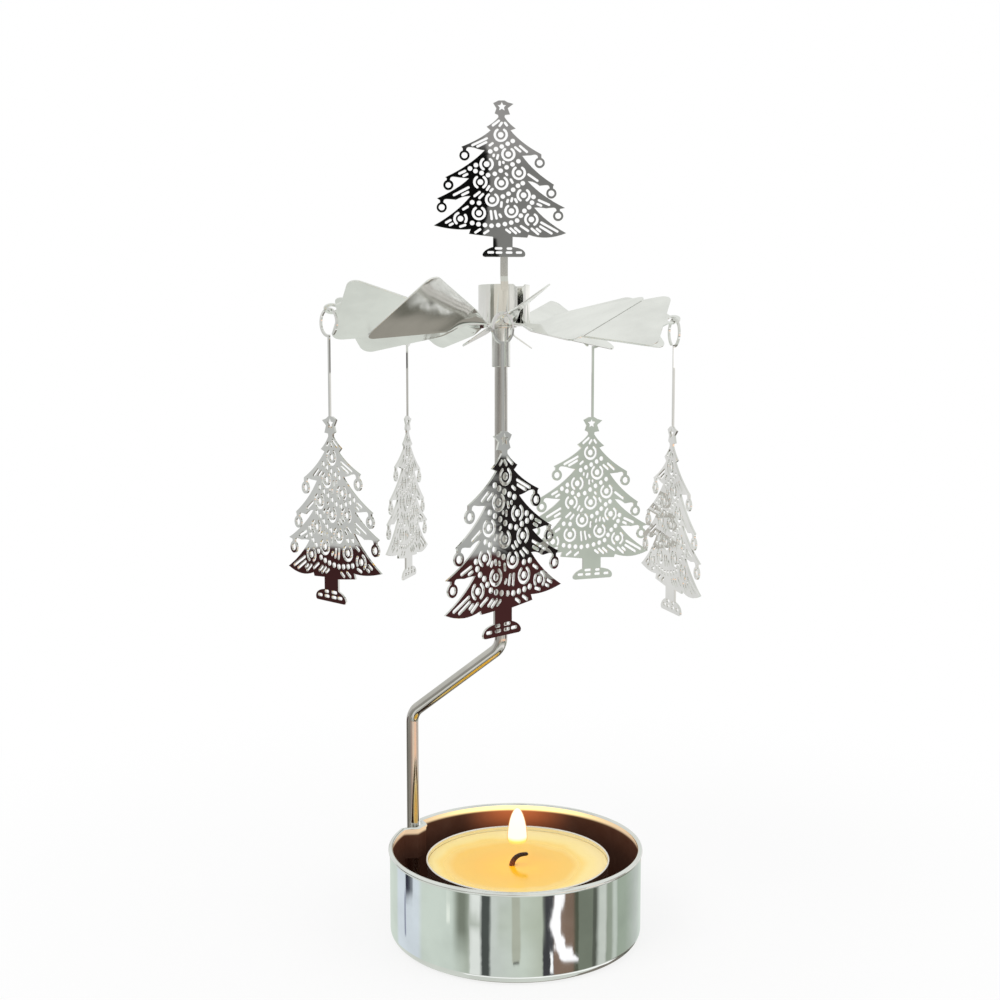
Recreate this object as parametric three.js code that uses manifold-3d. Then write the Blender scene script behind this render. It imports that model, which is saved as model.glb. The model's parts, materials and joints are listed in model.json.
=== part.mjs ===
// Rotating candle holder: a tealight in a chromed cup drives a ten-bladed rotor on a pointed pole,
// with five hanging tree charms and a tree on top. Millimetres, +Z up.
// The origin is the centre of the cup's underside.
import * as THREE from "three";
import { mergeVertices } from "three/addons/utils/BufferGeometryUtils.js";
import Module from "manifold-3d";

const wasm = await Module();
wasm.setup();

// Cup that stands on the table
const CUP_RADIUS = 25.9;
const CUP_HEIGHT = 18.4;
const CUP_WALL = 0.4;
const CUP_CORNER = 1.8;
const RIM_BEAD = 0.5;
const RIM_PROUD = 0.3;
const SLIT_HEIGHT = 11.6;
const SLIT_LAP = 0.3;
const POCKET_DEPTH = 5.8;
const POCKET_ROUND = 1.8;

// Pole
const POLE_RADIUS = 1.3;
const POLE_AZIMUTH = 150;
const POLE_OFFSET = 25.2;
const POLE_GAP = 0.3;
const LOWER_BEND_Z = 42.9;
const UPPER_BEND_Z = 59.5;
const BEND_RADIUS = 4;
const BEND_STEPS = 3;
const POLE_POINT = 2.6;
const POLE_END_CHAMFER = 0.4;

// Rotor, one stamped sheet
const AXIS_OFFSET = 3.4;
const HUB_Z = 125;
const ROTOR_SHEET = 0.3;
const FIRST_BLADE = -89;
const HUB_RADIUS = 7.2;
const BLADE_REACH = 33;
const BLADE_CORNER = 2.6;
const BLADE_SLIT = 1.1;
const TWIST_LENGTH = 7;
// Each blade is bent by hand: its twist and its rise in degrees, from the front blade anticlockwise
const BLADE_BENDS = [
  { twist: 35, rise: 2.1 },
  { twist: 25, rise: 1.2 },
  { twist: 31, rise: 1.5 },
  { twist: 34, rise: 2.1 },
  { twist: 34, rise: 1.6 },
  { twist: 34, rise: 2.1 },
  { twist: 34, rise: 2.6 },
  { twist: 34, rise: 0.3 },
  { twist: 34, rise: 5.8 },
  { twist: 34, rise: 5.4 },
];
const EAR_RADIUS = 1.6;
const EAR_HOLE = 0.9;
const EAR_OUT = 1.4;

// Bearing thimble pressed into the hub, over the pole's point
const THIMBLE_WALL = 0.35;
const THIMBLE_CLEARANCE = 0.2;
const THIMBLE_LENGTH = 8.4;
const THIMBLE_CAP = 0.5;
const THIMBLE_HEAD = 1.2;
const FLANGE_WIDTH = 1.3;
const FLANGE_SHEET = 0.3;
const POINT_GAP = 0.1;

// Hanging charms and the tree on top, cut from one sheet
const CHARM_SHEET = 0.4;
const CHARM_TREE_HEIGHT = 36.4;
const RING_OUTER = 2.85;
const RING_BAND = 0.5;
const RING_GAP_START = 235;
const STRIP_WIDTH = 0.6;
const STRIP_LENGTH = 15.2;
const RING_SHIFT = 1.1;
const RING_CLEARANCE = 0.15;
const JOIN_GAP = 0.1;
// How far each charm's ring is turned out of the rotor's tangent, from the front blade onwards
const CHARM_TURN = [46, 31, 59, 39, 23];

const TOP_TREE_HEIGHT = 30.4;
const STEM_WIDTH = 1.5;
const STEM_TOP_Z = 138.4;
const COLLAR_RADIUS = 5.15;
// How far the collar stands to the right of the hub's centre
const COLLAR_ASIDE = 0.6;
const COLLAR_HEIGHT = 7.6;
const COLLAR_GAP_ANGLE = 16;
const COLLAR_GAP_AT = -52;
const COLLAR_TAB_WIDTH = 1.6;
const COLLAR_TAB_LENGTH = 1;
const COLLAR_TAB_CLEARANCE = 0.15;
const COLLAR_TABS = [-150, 90, 0];
const STEM_SETBACK_RISE = 1.6;

// Tealight
const TEALIGHT_RADIUS = 19;
const TEALIGHT_HEIGHT = 15.2;
const TEALIGHT_WALL = 0.3;
const TEALIGHT_TAPER = 0.6;
const TEALIGHT_CORNER = 1;
const WAX_BELOW_RIM = 1.3;
const WAX_GAP = 0.1;
const WAX_DISH = 0.5;
const WICK_RADIUS = 0.6;
const WICK_CLEARANCE = 0.1;
const WICK_RISE = 2.6;
const WICK_BEND = 1.4;
const TAB_RADIUS = 5;
const TAB_SHEET = 0.3;
const TAB_NECK = 0.35;
const TAB_NECK_HEIGHT = 3;

const CHROME = { color: 0xc9cdc9, roughness: 0.08, metalness: 1 };
const STEEL = { color: 0xb4b3ae, roughness: 0.22, metalness: 1 };
const MIRROR = { color: 0xd6d8d4, roughness: 0.05, metalness: 1 };
const ALUMINIUM = { color: 0xe2ded6, roughness: 0.35, metalness: 1 };
const WAX = { color: 0xf6dfa0, roughness: 0.5, metalness: 0 };
const WICK = { color: 0x2a1c14, roughness: 0.9, metalness: 0 };

const BLADE_COUNT = BLADE_BENDS.length;

const radians = THREE.MathUtils.degToRad;
const polar = (radius, degrees, z = 0) =>
  new THREE.Vector3(radius * Math.cos(radians(degrees)), radius * Math.sin(radians(degrees)), z);
const smooth = (t) => THREE.MathUtils.smoothstep(t, 0, 1);
const range = (count) => Array.from({ length: count }, (_, i) => i);

// The rotor turns about a vertical line above the slanted part of the pole, a little off the cup's centre.
const AXIS = polar(AXIS_OFFSET, POLE_AZIMUTH);
const FLOOR_Z = CUP_WALL;
// An ear's hole lies just beyond its blade's straight end.
const EAR_REACH = BLADE_REACH + EAR_OUT;

// Solids and meshes

function toSolid(geometry) {
  const bare = new THREE.BufferGeometry().setAttribute("position", geometry.getAttribute("position").clone());
  if (geometry.index) bare.setIndex(geometry.index.clone());
  const merged = mergeVertices(bare, 1e-4);
  const corners = [];
  const index = merged.index.array;
  for (let i = 0; i < index.length; i += 3) {
    const [a, b, c] = [index[i], index[i + 1], index[i + 2]];
    if (a !== b && b !== c && c !== a) corners.push(a, b, c);
  }
  const solid = new wasm.Manifold(
    new wasm.Mesh({
      numProp: 3,
      vertProperties: new Float32Array(merged.attributes.position.array),
      triVerts: new Uint32Array(corners),
    }),
  );
  return solid;
}

function toGeometry(solid) {
  const mesh = solid.getMesh();
  const geometry = new THREE.BufferGeometry();
  geometry.setAttribute("position", new THREE.BufferAttribute(new Float32Array(mesh.vertProperties), 3));
  geometry.setIndex(new THREE.BufferAttribute(new Uint32Array(mesh.triVerts), 1));
  geometry.computeVertexNormals();
  return geometry;
}

// Flat stretches are left with no more corners than they need.
const tidied = (solid) => toGeometry(solid.simplify(0.002));
const join = (...geometries) => tidied(geometries.map(toSolid).reduce((a, b) => a.add(b)));
const cut = (body, ...tools) => tidied(tools.map(toSolid).reduce((a, b) => a.subtract(b), toSolid(body)));

// A skin over a row of cross-sections with equal numbers of points, closed at both ends or into a loop.
function loft(sections, looped = false) {
  const size = sections[0].length;
  const corners = [];
  const at = (section, point) => (section % sections.length) * size + (point % size);
  const spans = looped ? sections.length : sections.length - 1;
  for (let s = 0; s < spans; s++) {
    for (let p = 0; p < size; p++) {
      corners.push(at(s, p), at(s, p + 1), at(s + 1, p + 1), at(s, p), at(s + 1, p + 1), at(s + 1, p));
    }
  }
  if (!looped) {
    for (let p = 1; p < size - 1; p++) {
      corners.push(at(0, 0), at(0, p + 1), at(0, p));
      corners.push(at(spans, 0), at(spans, p), at(spans, p + 1));
    }
  }
  const geometry = new THREE.BufferGeometry().setFromPoints(sections.flat());
  geometry.setIndex(corners);
  return toGeometry(facingOut(geometry));
}

function facingOut(geometry) {
  const { array } = geometry.getAttribute("position");
  const index = geometry.index.array;
  const corner = (i) => new THREE.Vector3().fromArray(array, 3 * index[i]);
  let volume = 0;
  for (let i = 0; i < index.length; i += 3) volume += corner(i).dot(corner(i + 1).cross(corner(i + 2)));
  if (volume < 0) for (let i = 0; i < index.length; i += 3) [index[i], index[i + 1]] = [index[i + 1], index[i]];
  return toSolid(geometry);
}

// A closed profile of [radius, height] points turned about Z. bend moves a point's radius at an angle.
function revolve(profile, angles, bend = (radius) => radius) {
  return loft(
    angles.map((angle) => profile.map(([radius, z]) => polar(bend(radius, z, angle), angle, z))),
    true,
  );
}

const evenAngles = (count) => range(count).map((i) => (360 * i) / count);

// Points of a profile's round corner, from one angle to another.
const arc = (centre, radius, from, to, steps) =>
  range(steps + 1).map((i) => {
    const angle = radians(from + ((to - from) * i) / steps);
    return [centre[0] + radius * Math.cos(angle), centre[1] + radius * Math.sin(angle)];
  });

// A flat outline in X and Z, made a sheet that stands upright and is centred on its thickness.
function upright(shape, thickness, curveSegments) {
  return new THREE.ExtrudeGeometry(shape, { depth: thickness, bevelEnabled: false, curveSegments })
    .translate(0, 0, -thickness / 2)
    .rotateX(Math.PI / 2);
}

function mesh(name, geometry, look) {
  const made = new THREE.Mesh(geometry, new THREE.MeshStandardMaterial(look));
  made.name = name;
  return made;
}

// Cup: a drawn tin cup. Its rim is pressed in where the pole passes outside it, and below a slit
// its wall is pressed out into a pocket that takes the pole's end.

const POLE_SOCKET_RADIUS = POLE_RADIUS + POLE_GAP;
const RIM_DENT = CUP_RADIUS + RIM_PROUD - (POLE_OFFSET - POLE_SOCKET_RADIUS);
const POCKET_BULGE = POLE_OFFSET + POLE_SOCKET_RADIUS + POLE_GAP / 3 - (CUP_RADIUS - CUP_WALL);
const POCKET_FLOOR_Z = SLIT_HEIGHT - POCKET_DEPTH;
const socketAngle = (width) => (180 / Math.PI) * (width / POLE_OFFSET);

// 1 beside the pole, falling to 0 over two pole radii on each side of it.
function nearPole(angle, flat) {
  const away = Math.abs(THREE.MathUtils.euclideanModulo(angle - POLE_AZIMUTH + 180, 360) - 180);
  return 1 - smooth((away - socketAngle(flat)) / socketAngle(1.6 * POLE_RADIUS));
}

function pocketReach(z) {
  const below = Math.max(0, POCKET_FLOOR_Z + POCKET_ROUND - z) / POCKET_ROUND;
  return below >= 1 ? 0 : Math.sqrt(1 - below * below);
}

function candleTray() {
  const window = socketAngle(3.2 * POLE_RADIUS);
  const beside = [-1, -0.7, -0.45, -0.22, 0, 0.22, 0.45, 0.7, 1].map(
    (share) => POLE_AZIMUTH + share * window,
  );
  const around = evenAngles(28).filter((angle) => Math.abs(angle - POLE_AZIMUTH) > window * 1.15);
  const angles = [...around, ...beside].sort((a, b) => a - b);

  const inner = CUP_RADIUS - CUP_WALL;
  const corner = [CUP_RADIUS - CUP_CORNER, CUP_CORNER];
  const rows = [0, 0.1, 0.4, 1].map((share) => POCKET_FLOOR_Z + share * POCKET_ROUND);
  const lower = [
    [0, 0],
    ...arc(corner, CUP_CORNER, -90, 0, 2),
    ...rows.map((z) => [CUP_RADIUS, z]),
    [CUP_RADIUS, SLIT_HEIGHT],
    [inner, SLIT_HEIGHT],
    ...rows.map((z) => [inner, z]).reverse(),
    ...arc(corner, CUP_CORNER - CUP_WALL, 0, -90, 2),
    [0, FLOOR_Z],
  ];
  const beadCentre = [CUP_RADIUS + RIM_PROUD - RIM_BEAD, CUP_HEIGHT - RIM_BEAD];
  const upper = [
    [CUP_RADIUS, SLIT_HEIGHT - SLIT_LAP],
    ...arc(beadCentre, RIM_BEAD, -60, 240, 6),
    [inner, SLIT_HEIGHT - SLIT_LAP],
  ];
  const bulge = (radius, z, angle) => radius + POCKET_BULGE * pocketReach(z) * nearPole(angle, 0.8 * POLE_RADIUS);
  const dent = (radius, z, angle) => radius - RIM_DENT * nearPole(angle, 1.2 * POLE_RADIUS);
  return join(revolve(lower, angles, (r, z, a) => (r > inner - 1e-6 ? bulge(r, z, a) : r)), revolve(upper, angles, dent));
}

// Pole: round rod with two bends in one upright plane, pointed at the top.

function polePath() {
  const foot = polar(POLE_OFFSET, POLE_AZIMUTH, POCKET_FLOOR_Z + POLE_GAP);
  const low = polar(POLE_OFFSET, POLE_AZIMUTH, LOWER_BEND_Z);
  const high = AXIS.clone().setZ(UPPER_BEND_Z);
  const tip = AXIS.clone().setZ(HUB_Z + THIMBLE_HEAD - THIMBLE_CAP - POINT_GAP);
  const slope = high.clone().sub(low).normalize();
  const up = new THREE.Vector3(0, 0, 1);
  const turn = slope.angleTo(up);
  const setBack = BEND_RADIUS * Math.tan(turn / 2);
  const side = polar(1, POLE_AZIMUTH + 180);
  const bend = (start, clockwise) =>
    range(BEND_STEPS + 1).map((i) => {
      const swept = (turn * i) / BEND_STEPS;
      const angle = clockwise ? swept : turn - swept;
      const along = BEND_RADIUS * (clockwise ? Math.sin(angle) : Math.sin(turn) - Math.sin(angle));
      const across = BEND_RADIUS * (clockwise ? 1 - Math.cos(angle) : Math.cos(angle) - Math.cos(turn));
      return {
        at: start.clone().addScaledVector(up, along).addScaledVector(side, across),
        heading: up.clone().multiplyScalar(Math.cos(angle)).addScaledVector(side, Math.sin(angle)),
        radius: POLE_RADIUS,
      };
    });
  const straight = (at, radius) => ({ at, heading: up, radius });
  return [
    straight(foot, POLE_RADIUS - POLE_END_CHAMFER),
    straight(foot.clone().setZ(foot.z + POLE_END_CHAMFER), POLE_RADIUS),
    ...bend(low.clone().addScaledVector(up, -setBack), true),
    ...bend(high.clone().addScaledVector(slope, -setBack), false),
    straight(tip.clone().setZ(tip.z - POLE_POINT), POLE_RADIUS),
    straight(tip, 0.1),
  ];
}

function rod(stations, sides, across) {
  return loft(
    stations.map(({ at, heading, radius }) => {
      const third = heading.clone().cross(across);
      return range(sides).map((i) => {
        const angle = (2 * Math.PI * i) / sides;
        return at
          .clone()
          .addScaledVector(across, radius * Math.cos(angle))
          .addScaledVector(third, radius * Math.sin(angle));
      });
    }),
  );
}

const pole = () => rod(polePath(), 12, polar(1, POLE_AZIMUTH + 90));

// Rotor: a disc slit into blades, each turned about its own middle line and a little raised to its tip.

const bladeTurn = ({ twist }, radius) => radians(twist) * smooth((radius - HUB_RADIUS) / TWIST_LENGTH);
const bladeRise = ({ rise }, radius) => Math.max(0, radius - HUB_RADIUS) * Math.tan(radians(rise));

// A point of the flat sheet, carried to its place on the bent blade that points along +X.
function onBlade(bend, radius, across, height) {
  const turn = bladeTurn(bend, radius);
  return new THREE.Vector3(
    radius,
    across * Math.cos(turn) - height * Math.sin(turn),
    across * Math.sin(turn) + height * Math.cos(turn) + bladeRise(bend, radius),
  );
}

function bladeHalfWidth(radius) {
  const full = radius * Math.tan(Math.PI / BLADE_COUNT) - BLADE_SLIT / 2;
  const into = Math.max(0, radius - (BLADE_REACH - BLADE_CORNER));
  return full - (BLADE_CORNER - Math.sqrt(Math.max(0, BLADE_CORNER ** 2 - into ** 2)));
}

function blade(bend) {
  const neck = [-1.5, 0, 0.25, 0.5, 0.75, 1].map((share) => HUB_RADIUS + share * TWIST_LENGTH);
  const corner = [0, 0.6, 1].map((share) => BLADE_REACH - BLADE_CORNER * (1 - share));
  const half = ROTOR_SHEET / 2;
  return loft(
    [...neck, ...corner].map((radius) => {
      const wide = bladeHalfWidth(Math.max(radius, HUB_RADIUS));
      return [
        onBlade(bend, radius, -wide, -half),
        onBlade(bend, radius, wide, -half),
        onBlade(bend, radius, wide, half),
        onBlade(bend, radius, -wide, half),
      ];
    }),
  );
}

function ear(bend) {
  const outline = new THREE.Shape();
  outline.moveTo(BLADE_REACH - EAR_RADIUS, -EAR_RADIUS * 1.5);
  outline.lineTo(BLADE_REACH - EAR_RADIUS, EAR_RADIUS * 1.5);
  outline.absarc(EAR_REACH, 0, EAR_RADIUS, radians(100), radians(-100), true);
  outline.holes.push(circlePath([EAR_REACH, 0], EAR_HOLE, 8));
  const flat = new THREE.ExtrudeGeometry(outline, { depth: ROTOR_SHEET, bevelEnabled: false, curveSegments: 3 })
    .translate(0, 0, -ROTOR_SHEET / 2);
  const place = flat.getAttribute("position");
  for (let i = 0; i < place.count; i++) {
    const moved = onBlade(bend, place.getX(i), place.getY(i), place.getZ(i));
    place.setXYZ(i, moved.x, moved.y, moved.z);
  }
  return flat;
}

const bladeAngle = (index) => FIRST_BLADE + (360 / BLADE_COUNT) * index;

function rotor() {
  const hub = revolve(
    [
      [thimbleRadius() + POINT_GAP, -ROTOR_SHEET / 2],
      [HUB_RADIUS, -ROTOR_SHEET / 2],
      [HUB_RADIUS, ROTOR_SHEET / 2],
      [thimbleRadius() + POINT_GAP, ROTOR_SHEET / 2],
    ],
    evenAngles(20),
  );
  const bore = new THREE.CylinderGeometry(thimbleRadius() + POINT_GAP, thimbleRadius() + POINT_GAP, 2, 14)
    .rotateX(Math.PI / 2);
  const blades = BLADE_BENDS.flatMap((bend, i) => {
    const turn = radians(bladeAngle(i));
    return i % 2 === 0 ? [blade(bend).rotateZ(turn), ear(bend).rotateZ(turn)] : [blade(bend).rotateZ(turn)];
  });
  const slots = COLLAR_TABS.map((angle) => collarTab(angle, 2, COLLAR_TAB_CLEARANCE).translate(COLLAR_ASIDE, 0, 1));
  return cut(join(hub, ...blades), bore, ...slots);
}

// Thimble: a capped tube that hangs from the hub's centre and turns on the pole's point.

const thimbleBore = () => POLE_RADIUS + THIMBLE_CLEARANCE;
const thimbleRadius = () => thimbleBore() + THIMBLE_WALL;

function bearingThimble() {
  const outside = thimbleRadius();
  const bottom = -THIMBLE_LENGTH;
  const edge = THIMBLE_WALL / 2;
  const flange = -ROTOR_SHEET / 2 - POINT_GAP;
  return revolve(
    [
      [0, THIMBLE_HEAD],
      [0, THIMBLE_HEAD - THIMBLE_CAP],
      [thimbleBore() * 0.4, THIMBLE_HEAD - THIMBLE_CAP - 0.2],
      [thimbleBore(), -POLE_POINT / 2],
      [thimbleBore(), bottom],
      [outside - edge, bottom],
      [outside, bottom + edge],
      [outside, flange - FLANGE_SHEET],
      [outside + FLANGE_WIDTH, flange - FLANGE_SHEET],
      [outside + FLANGE_WIDTH, flange],
      [outside, flange],
      [outside, THIMBLE_HEAD - 2 * edge],
      [outside - 2 * edge, THIMBLE_HEAD],
    ],
    evenAngles(14),
  );
}

// Tree: a flat figure of tiers with ball rings at their tips, drawn at the charms' size and scaled.
// Places are in millimetres from the middle of its foot.

const TREE_NATURAL_HEIGHT = 37;
const STAR = { centre: [0, 35.4], outer: 2.4, inner: 1.05, hole: 0.7 };
const NECK = { halfWidth: 0.7, y: 33.4 };
const RIGHT_TIERS = [
  { tip: [3, 30.4], notch: [1.6, 30] },
  { tip: [9, 24.5], ball: [8.6, 22.3], notch: [4.45, 23.9] },
  { tip: [12.05, 17.2], ball: [11.4, 15.1], notch: [5.7, 17.7] },
  { tip: [14.6, 11.6], ball: [13.1, 9.7], notch: [7.4, 11.4] },
];
const LEFT_TIERS = [
  { tip: [-3.75, 30.7], notch: [-3.05, 29.8] },
  { tip: [-9.75, 26], ball: [-9, 24], notch: [-4.3, 24.9] },
  { tip: [-13.6, 18.9], ball: [-12.9, 17.1], notch: [-7.9, 18.3] },
  { tip: [-15.5, 13.8], ball: [-14.4, 11.7], notch: [-7.5, 14.3] },
];
const SKIRT_RIGHT = { tip: [15, 5.6], belly: [10.5, 3.9], step: [6.1, 5.4], low: [5.7, 4.5] };
const SKIRT_LEFT = { tip: [-16.4, 7.5], belly: [-11.2, 6.4], step: [-7.4, 6.3], low: [-7.9, 5.3] };
const TRUNK = { left: -2.1, right: 2.35, top: 4.8, bottom: 2.4 };
const FOOT = { left: -4.9, right: 5.4, toe: 0.6 };
const BALL_RING = { outer: 1.2, hole: 0.72, neck: 0.36 };
const BAUBLE = { outer: 1.8, band: 0.62, opening: 78 };
const BAUBLES = [
  [-0.6, 28.9], [1.2, 24.4], [-4, 22], [3.6, 20], [-5.4, 17.7], [-0.5, 17.6],
  [4.9, 14.7], [-2.7, 13.6], [-5.7, 10.4], [1.9, 10.9], [-10.1, 8.7], [6.7, 8.9],
];
const DOT_RADIUS = 0.6;
// Garlands of dots hang between two places, with the sag of their middle
const GARLANDS = [
  { from: [2.2, 27.5], to: [-3.1, 25.2], sag: 0, dots: 2 },
  { from: [3.4, 22.7], to: [-7.8, 20.8], sag: 2, dots: 4 },
  { from: [4.2, 9.6], to: [-7.6, 8.1], sag: 1.5, dots: 4 },
];
const SLOT_WIDTH = 0.62;
// Slots follow the branches, each from one end to the other
const SLOTS = [
  [[-7.2, 26], [-3.9, 27.7]],
  [[4.2, 26.4], [5.9, 24.9]],
  [[-10.5, 19.2], [-8.9, 20]],
  [[6, 19.7], [8.3, 18]],
  [[-11.7, 14.4], [-8.2, 16.3]],
  [[8.5, 13.6], [11.1, 12.3]],
  [[-9.3, 10.9], [-8.2, 11.8]],
  [[9, 8.3], [12.9, 6]],
  [[4.3, 7.3], [5.9, 6.1]],
];
const FOOT_SLOTS = [[-1.1, 1.8], [1.6, 1.7], [-2.9, 1], [3.7, 0.9]];
const FOOT_SLOT_LENGTH = 1.4;
// Share of the way along and down at which an upper edge of a tier is pulled in
const BRANCH_PULL = [0.36, 0.56];

function circlePath([x, y], radius, sides, start = 0) {
  const points = range(sides).map((i) => {
    const angle = radians(start + (360 * i) / sides);
    return new THREE.Vector2(x + radius * Math.cos(angle), y + radius * Math.sin(angle));
  });
  return new THREE.Path(points);
}

// The upper edge of a branch, from the shape's pen to a tip.
function branchTo(outline, scale, tip) {
  const from = outline.currentPoint;
  const [x, y] = [scale * tip[0], scale * tip[1]];
  outline.quadraticCurveTo(
    from.x + BRANCH_PULL[0] * (x - from.x),
    from.y + BRANCH_PULL[1] * (y - from.y),
    x,
    y,
  );
}

// The lower edge of a branch, read from its outer to its inner end, with its ball ring.
function underBranch(scale, tier, side) {
  const lean = THREE.MathUtils.radToDeg(Math.asin(BALL_RING.neck / BALL_RING.outer));
  const [x, y] = tier.ball;
  const neckTop = y + BALL_RING.outer + 0.45;
  // Round the ball clockwise, from the right of its neck to the left
  const ball = arc(tier.ball, BALL_RING.outer, 90 - lean, lean - 270, 5);
  return {
    neckOut: [scale * (x + side * BALL_RING.neck), scale * neckTop],
    ball: ball.map((point) => point.map((value) => scale * value)),
    neckIn: [scale * (x - side * BALL_RING.neck), scale * neckTop],
    bend: [scale * (x + 0.45 * (tier.notch[0] - x)), scale * (neckTop - 0.7)],
    notch: [scale * tier.notch[0], scale * tier.notch[1]],
  };
}

function starPoint(scale, radius, degrees) {
  const angle = radians(degrees);
  return [
    scale * (STAR.centre[0] + radius * Math.cos(angle)),
    scale * (STAR.centre[1] + radius * Math.sin(angle)),
  ];
}

function treeShape(height) {
  const scale = height / TREE_NATURAL_HEIGHT;
  const s = (value) => scale * value;
  const outline = new THREE.Shape();
  const tipWidth = STRIP_WIDTH / 2;
  outline.moveTo(-tipWidth, height);
  outline.lineTo(tipWidth, height);
  outline.lineTo(...starPoint(scale, STAR.inner, 54));
  outline.lineTo(...starPoint(scale, STAR.outer, 18));
  outline.lineTo(...starPoint(scale, STAR.inner, -18));
  outline.lineTo(...starPoint(scale, STAR.outer, -54));
  outline.lineTo(s(NECK.halfWidth), s(NECK.y));
  for (const tier of RIGHT_TIERS) {
    branchTo(outline, scale, tier.tip);
    if (tier.ball) {
      const under = underBranch(scale, tier, 1);
      outline.lineTo(...under.neckOut);
      under.ball.forEach((point) => outline.lineTo(...point));
      outline.lineTo(...under.neckIn);
      outline.quadraticCurveTo(...under.bend, ...under.notch);
    } else outline.lineTo(s(tier.notch[0]), s(tier.notch[1]));
  }
  branchTo(outline, scale, SKIRT_RIGHT.tip);
  outline.quadraticCurveTo(...SKIRT_RIGHT.belly.map(s), ...SKIRT_RIGHT.step.map(s));
  outline.lineTo(...SKIRT_RIGHT.low.map(s));
  outline.lineTo(s(TRUNK.right), s(TRUNK.top));
  outline.lineTo(s(TRUNK.right), s(TRUNK.bottom));
  outline.quadraticCurveTo(s(FOOT.right), s(TRUNK.bottom - 0.4), s(FOOT.right), s(FOOT.toe));
  outline.lineTo(s(FOOT.right - 0.6), 0);
  outline.lineTo(s(FOOT.left + 0.6), 0);
  outline.lineTo(s(FOOT.left), s(FOOT.toe));
  outline.quadraticCurveTo(s(FOOT.left + 0.4), s(TRUNK.bottom - 0.6), s(TRUNK.left), s(TRUNK.bottom));
  outline.lineTo(s(TRUNK.left), s(TRUNK.top));
  outline.lineTo(...SKIRT_LEFT.low.map(s));
  outline.lineTo(...SKIRT_LEFT.step.map(s));
  outline.quadraticCurveTo(...SKIRT_LEFT.belly.map(s), ...SKIRT_LEFT.tip.map(s));
  // Up the left side each branch is drawn from its tip inwards
  const above = [...LEFT_TIERS].reverse();
  above.forEach((tier) => {
    const tip = outline.currentPoint.clone();
    const notch = tier.notch.map(s);
    outline.quadraticCurveTo(
      notch[0] + BRANCH_PULL[0] * (tip.x - notch[0]),
      notch[1] + BRANCH_PULL[1] * (tip.y - notch[1]),
      ...notch,
    );
    if (tier.ball) {
      const under = underBranch(scale, tier, -1);
      outline.quadraticCurveTo(...under.bend, ...under.neckIn);
      under.ball.forEach((point) => outline.lineTo(...point));
      outline.lineTo(...under.neckOut);
    }
    outline.lineTo(...tier.tip.map(s));
  });
  const tip = outline.currentPoint.clone();
  outline.quadraticCurveTo(
    s(-NECK.halfWidth) + BRANCH_PULL[0] * (tip.x - s(-NECK.halfWidth)),
    s(NECK.y) + BRANCH_PULL[1] * (tip.y - s(NECK.y)),
    s(-NECK.halfWidth),
    s(NECK.y),
  );
  outline.lineTo(...starPoint(scale, STAR.outer, 234));
  outline.lineTo(...starPoint(scale, STAR.inner, 198));
  outline.lineTo(...starPoint(scale, STAR.outer, 162));
  outline.lineTo(...starPoint(scale, STAR.inner, 126));
  outline.closePath();
  outline.holes.push(...treeHoles(scale));
  return outline;
}

function baublePath(scale, [x, y]) {
  const start = 90 + BAUBLE.opening / 2;
  const sweep = 360 - BAUBLE.opening;
  const along = (radius, share) => {
    const angle = radians(start + share * sweep);
    return new THREE.Vector2(scale * (x + radius * Math.cos(angle)), scale * (y + radius * Math.sin(angle)));
  };
  const outer = range(5).map((i) => along(BAUBLE.outer, i / 4));
  const inner = range(4).map((i) => along(BAUBLE.outer - BAUBLE.band, 1 - i / 3));
  return new THREE.Path([...outer, ...inner]);
}

function slotPath(scale, from, to) {
  const start = new THREE.Vector2(...from).multiplyScalar(scale);
  const end = new THREE.Vector2(...to).multiplyScalar(scale);
  const along = end.clone().sub(start).normalize();
  const aside = new THREE.Vector2(-along.y, along.x).multiplyScalar((scale * SLOT_WIDTH) / 2);
  return new THREE.Path([
    start.clone().sub(aside),
    end.clone().sub(aside),
    end.clone().add(aside),
    start.clone().add(aside),
  ]);
}

function treeHoles(scale) {
  const place = ([x, y]) => [scale * x, scale * y];
  const balls = [...RIGHT_TIERS, ...LEFT_TIERS]
    .filter((tier) => tier.ball)
    .map((tier) => circlePath(place(tier.ball), scale * BALL_RING.hole, 6));
  const dots = GARLANDS.flatMap(({ from, to, sag, dots: count }) =>
    range(count).map((i) => {
      const t = i / (count - 1);
      const x = from[0] + t * (to[0] - from[0]);
      const y = from[1] + t * (to[1] - from[1]) - 4 * sag * t * (1 - t);
      return circlePath(place([x, y]), scale * DOT_RADIUS, 5);
    }),
  );
  const feet = FOOT_SLOTS.map(([x, y]) => slotPath(scale, [x - FOOT_SLOT_LENGTH / 2, y], [x + FOOT_SLOT_LENGTH / 2, y]));
  return [
    circlePath(place(STAR.centre), scale * STAR.hole, 5, 90),
    ...balls,
    ...BAUBLES.map((centre) => baublePath(scale, centre)),
    ...dots,
    ...SLOTS.map(([from, to]) => slotPath(scale, from, to)),
    ...feet,
  ];
}

// Charm: an open ring, a thin strip and a tree in one plane. It is drawn with the ring's centre at
// the origin, and its sweeping side along +X.

function hanger() {
  const inside = RING_OUTER - RING_BAND;
  const half = STRIP_WIDTH / 2;
  const start = radians(-90) + Math.asin(half / RING_OUTER);
  const startInside = radians(-90) - Math.asin(half / inside);
  const end = radians(RING_GAP_START);
  const shape = new THREE.Shape();
  shape.moveTo(-half, -RING_OUTER - STRIP_LENGTH + JOIN_GAP);
  shape.lineTo(half, -RING_OUTER - STRIP_LENGTH + JOIN_GAP);
  shape.absarc(0, 0, RING_OUTER, start, end, false);
  shape.absarc(0, 0, inside, end, startInside, true);
  shape.closePath();
  return upright(shape, CHARM_SHEET, 9);
}

function charmTree() {
  const star = -RING_OUTER - STRIP_LENGTH;
  return upright(treeShape(CHARM_TREE_HEIGHT), CHARM_SHEET, 2).translate(0, 0, star - CHARM_TREE_HEIGHT);
}

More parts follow.
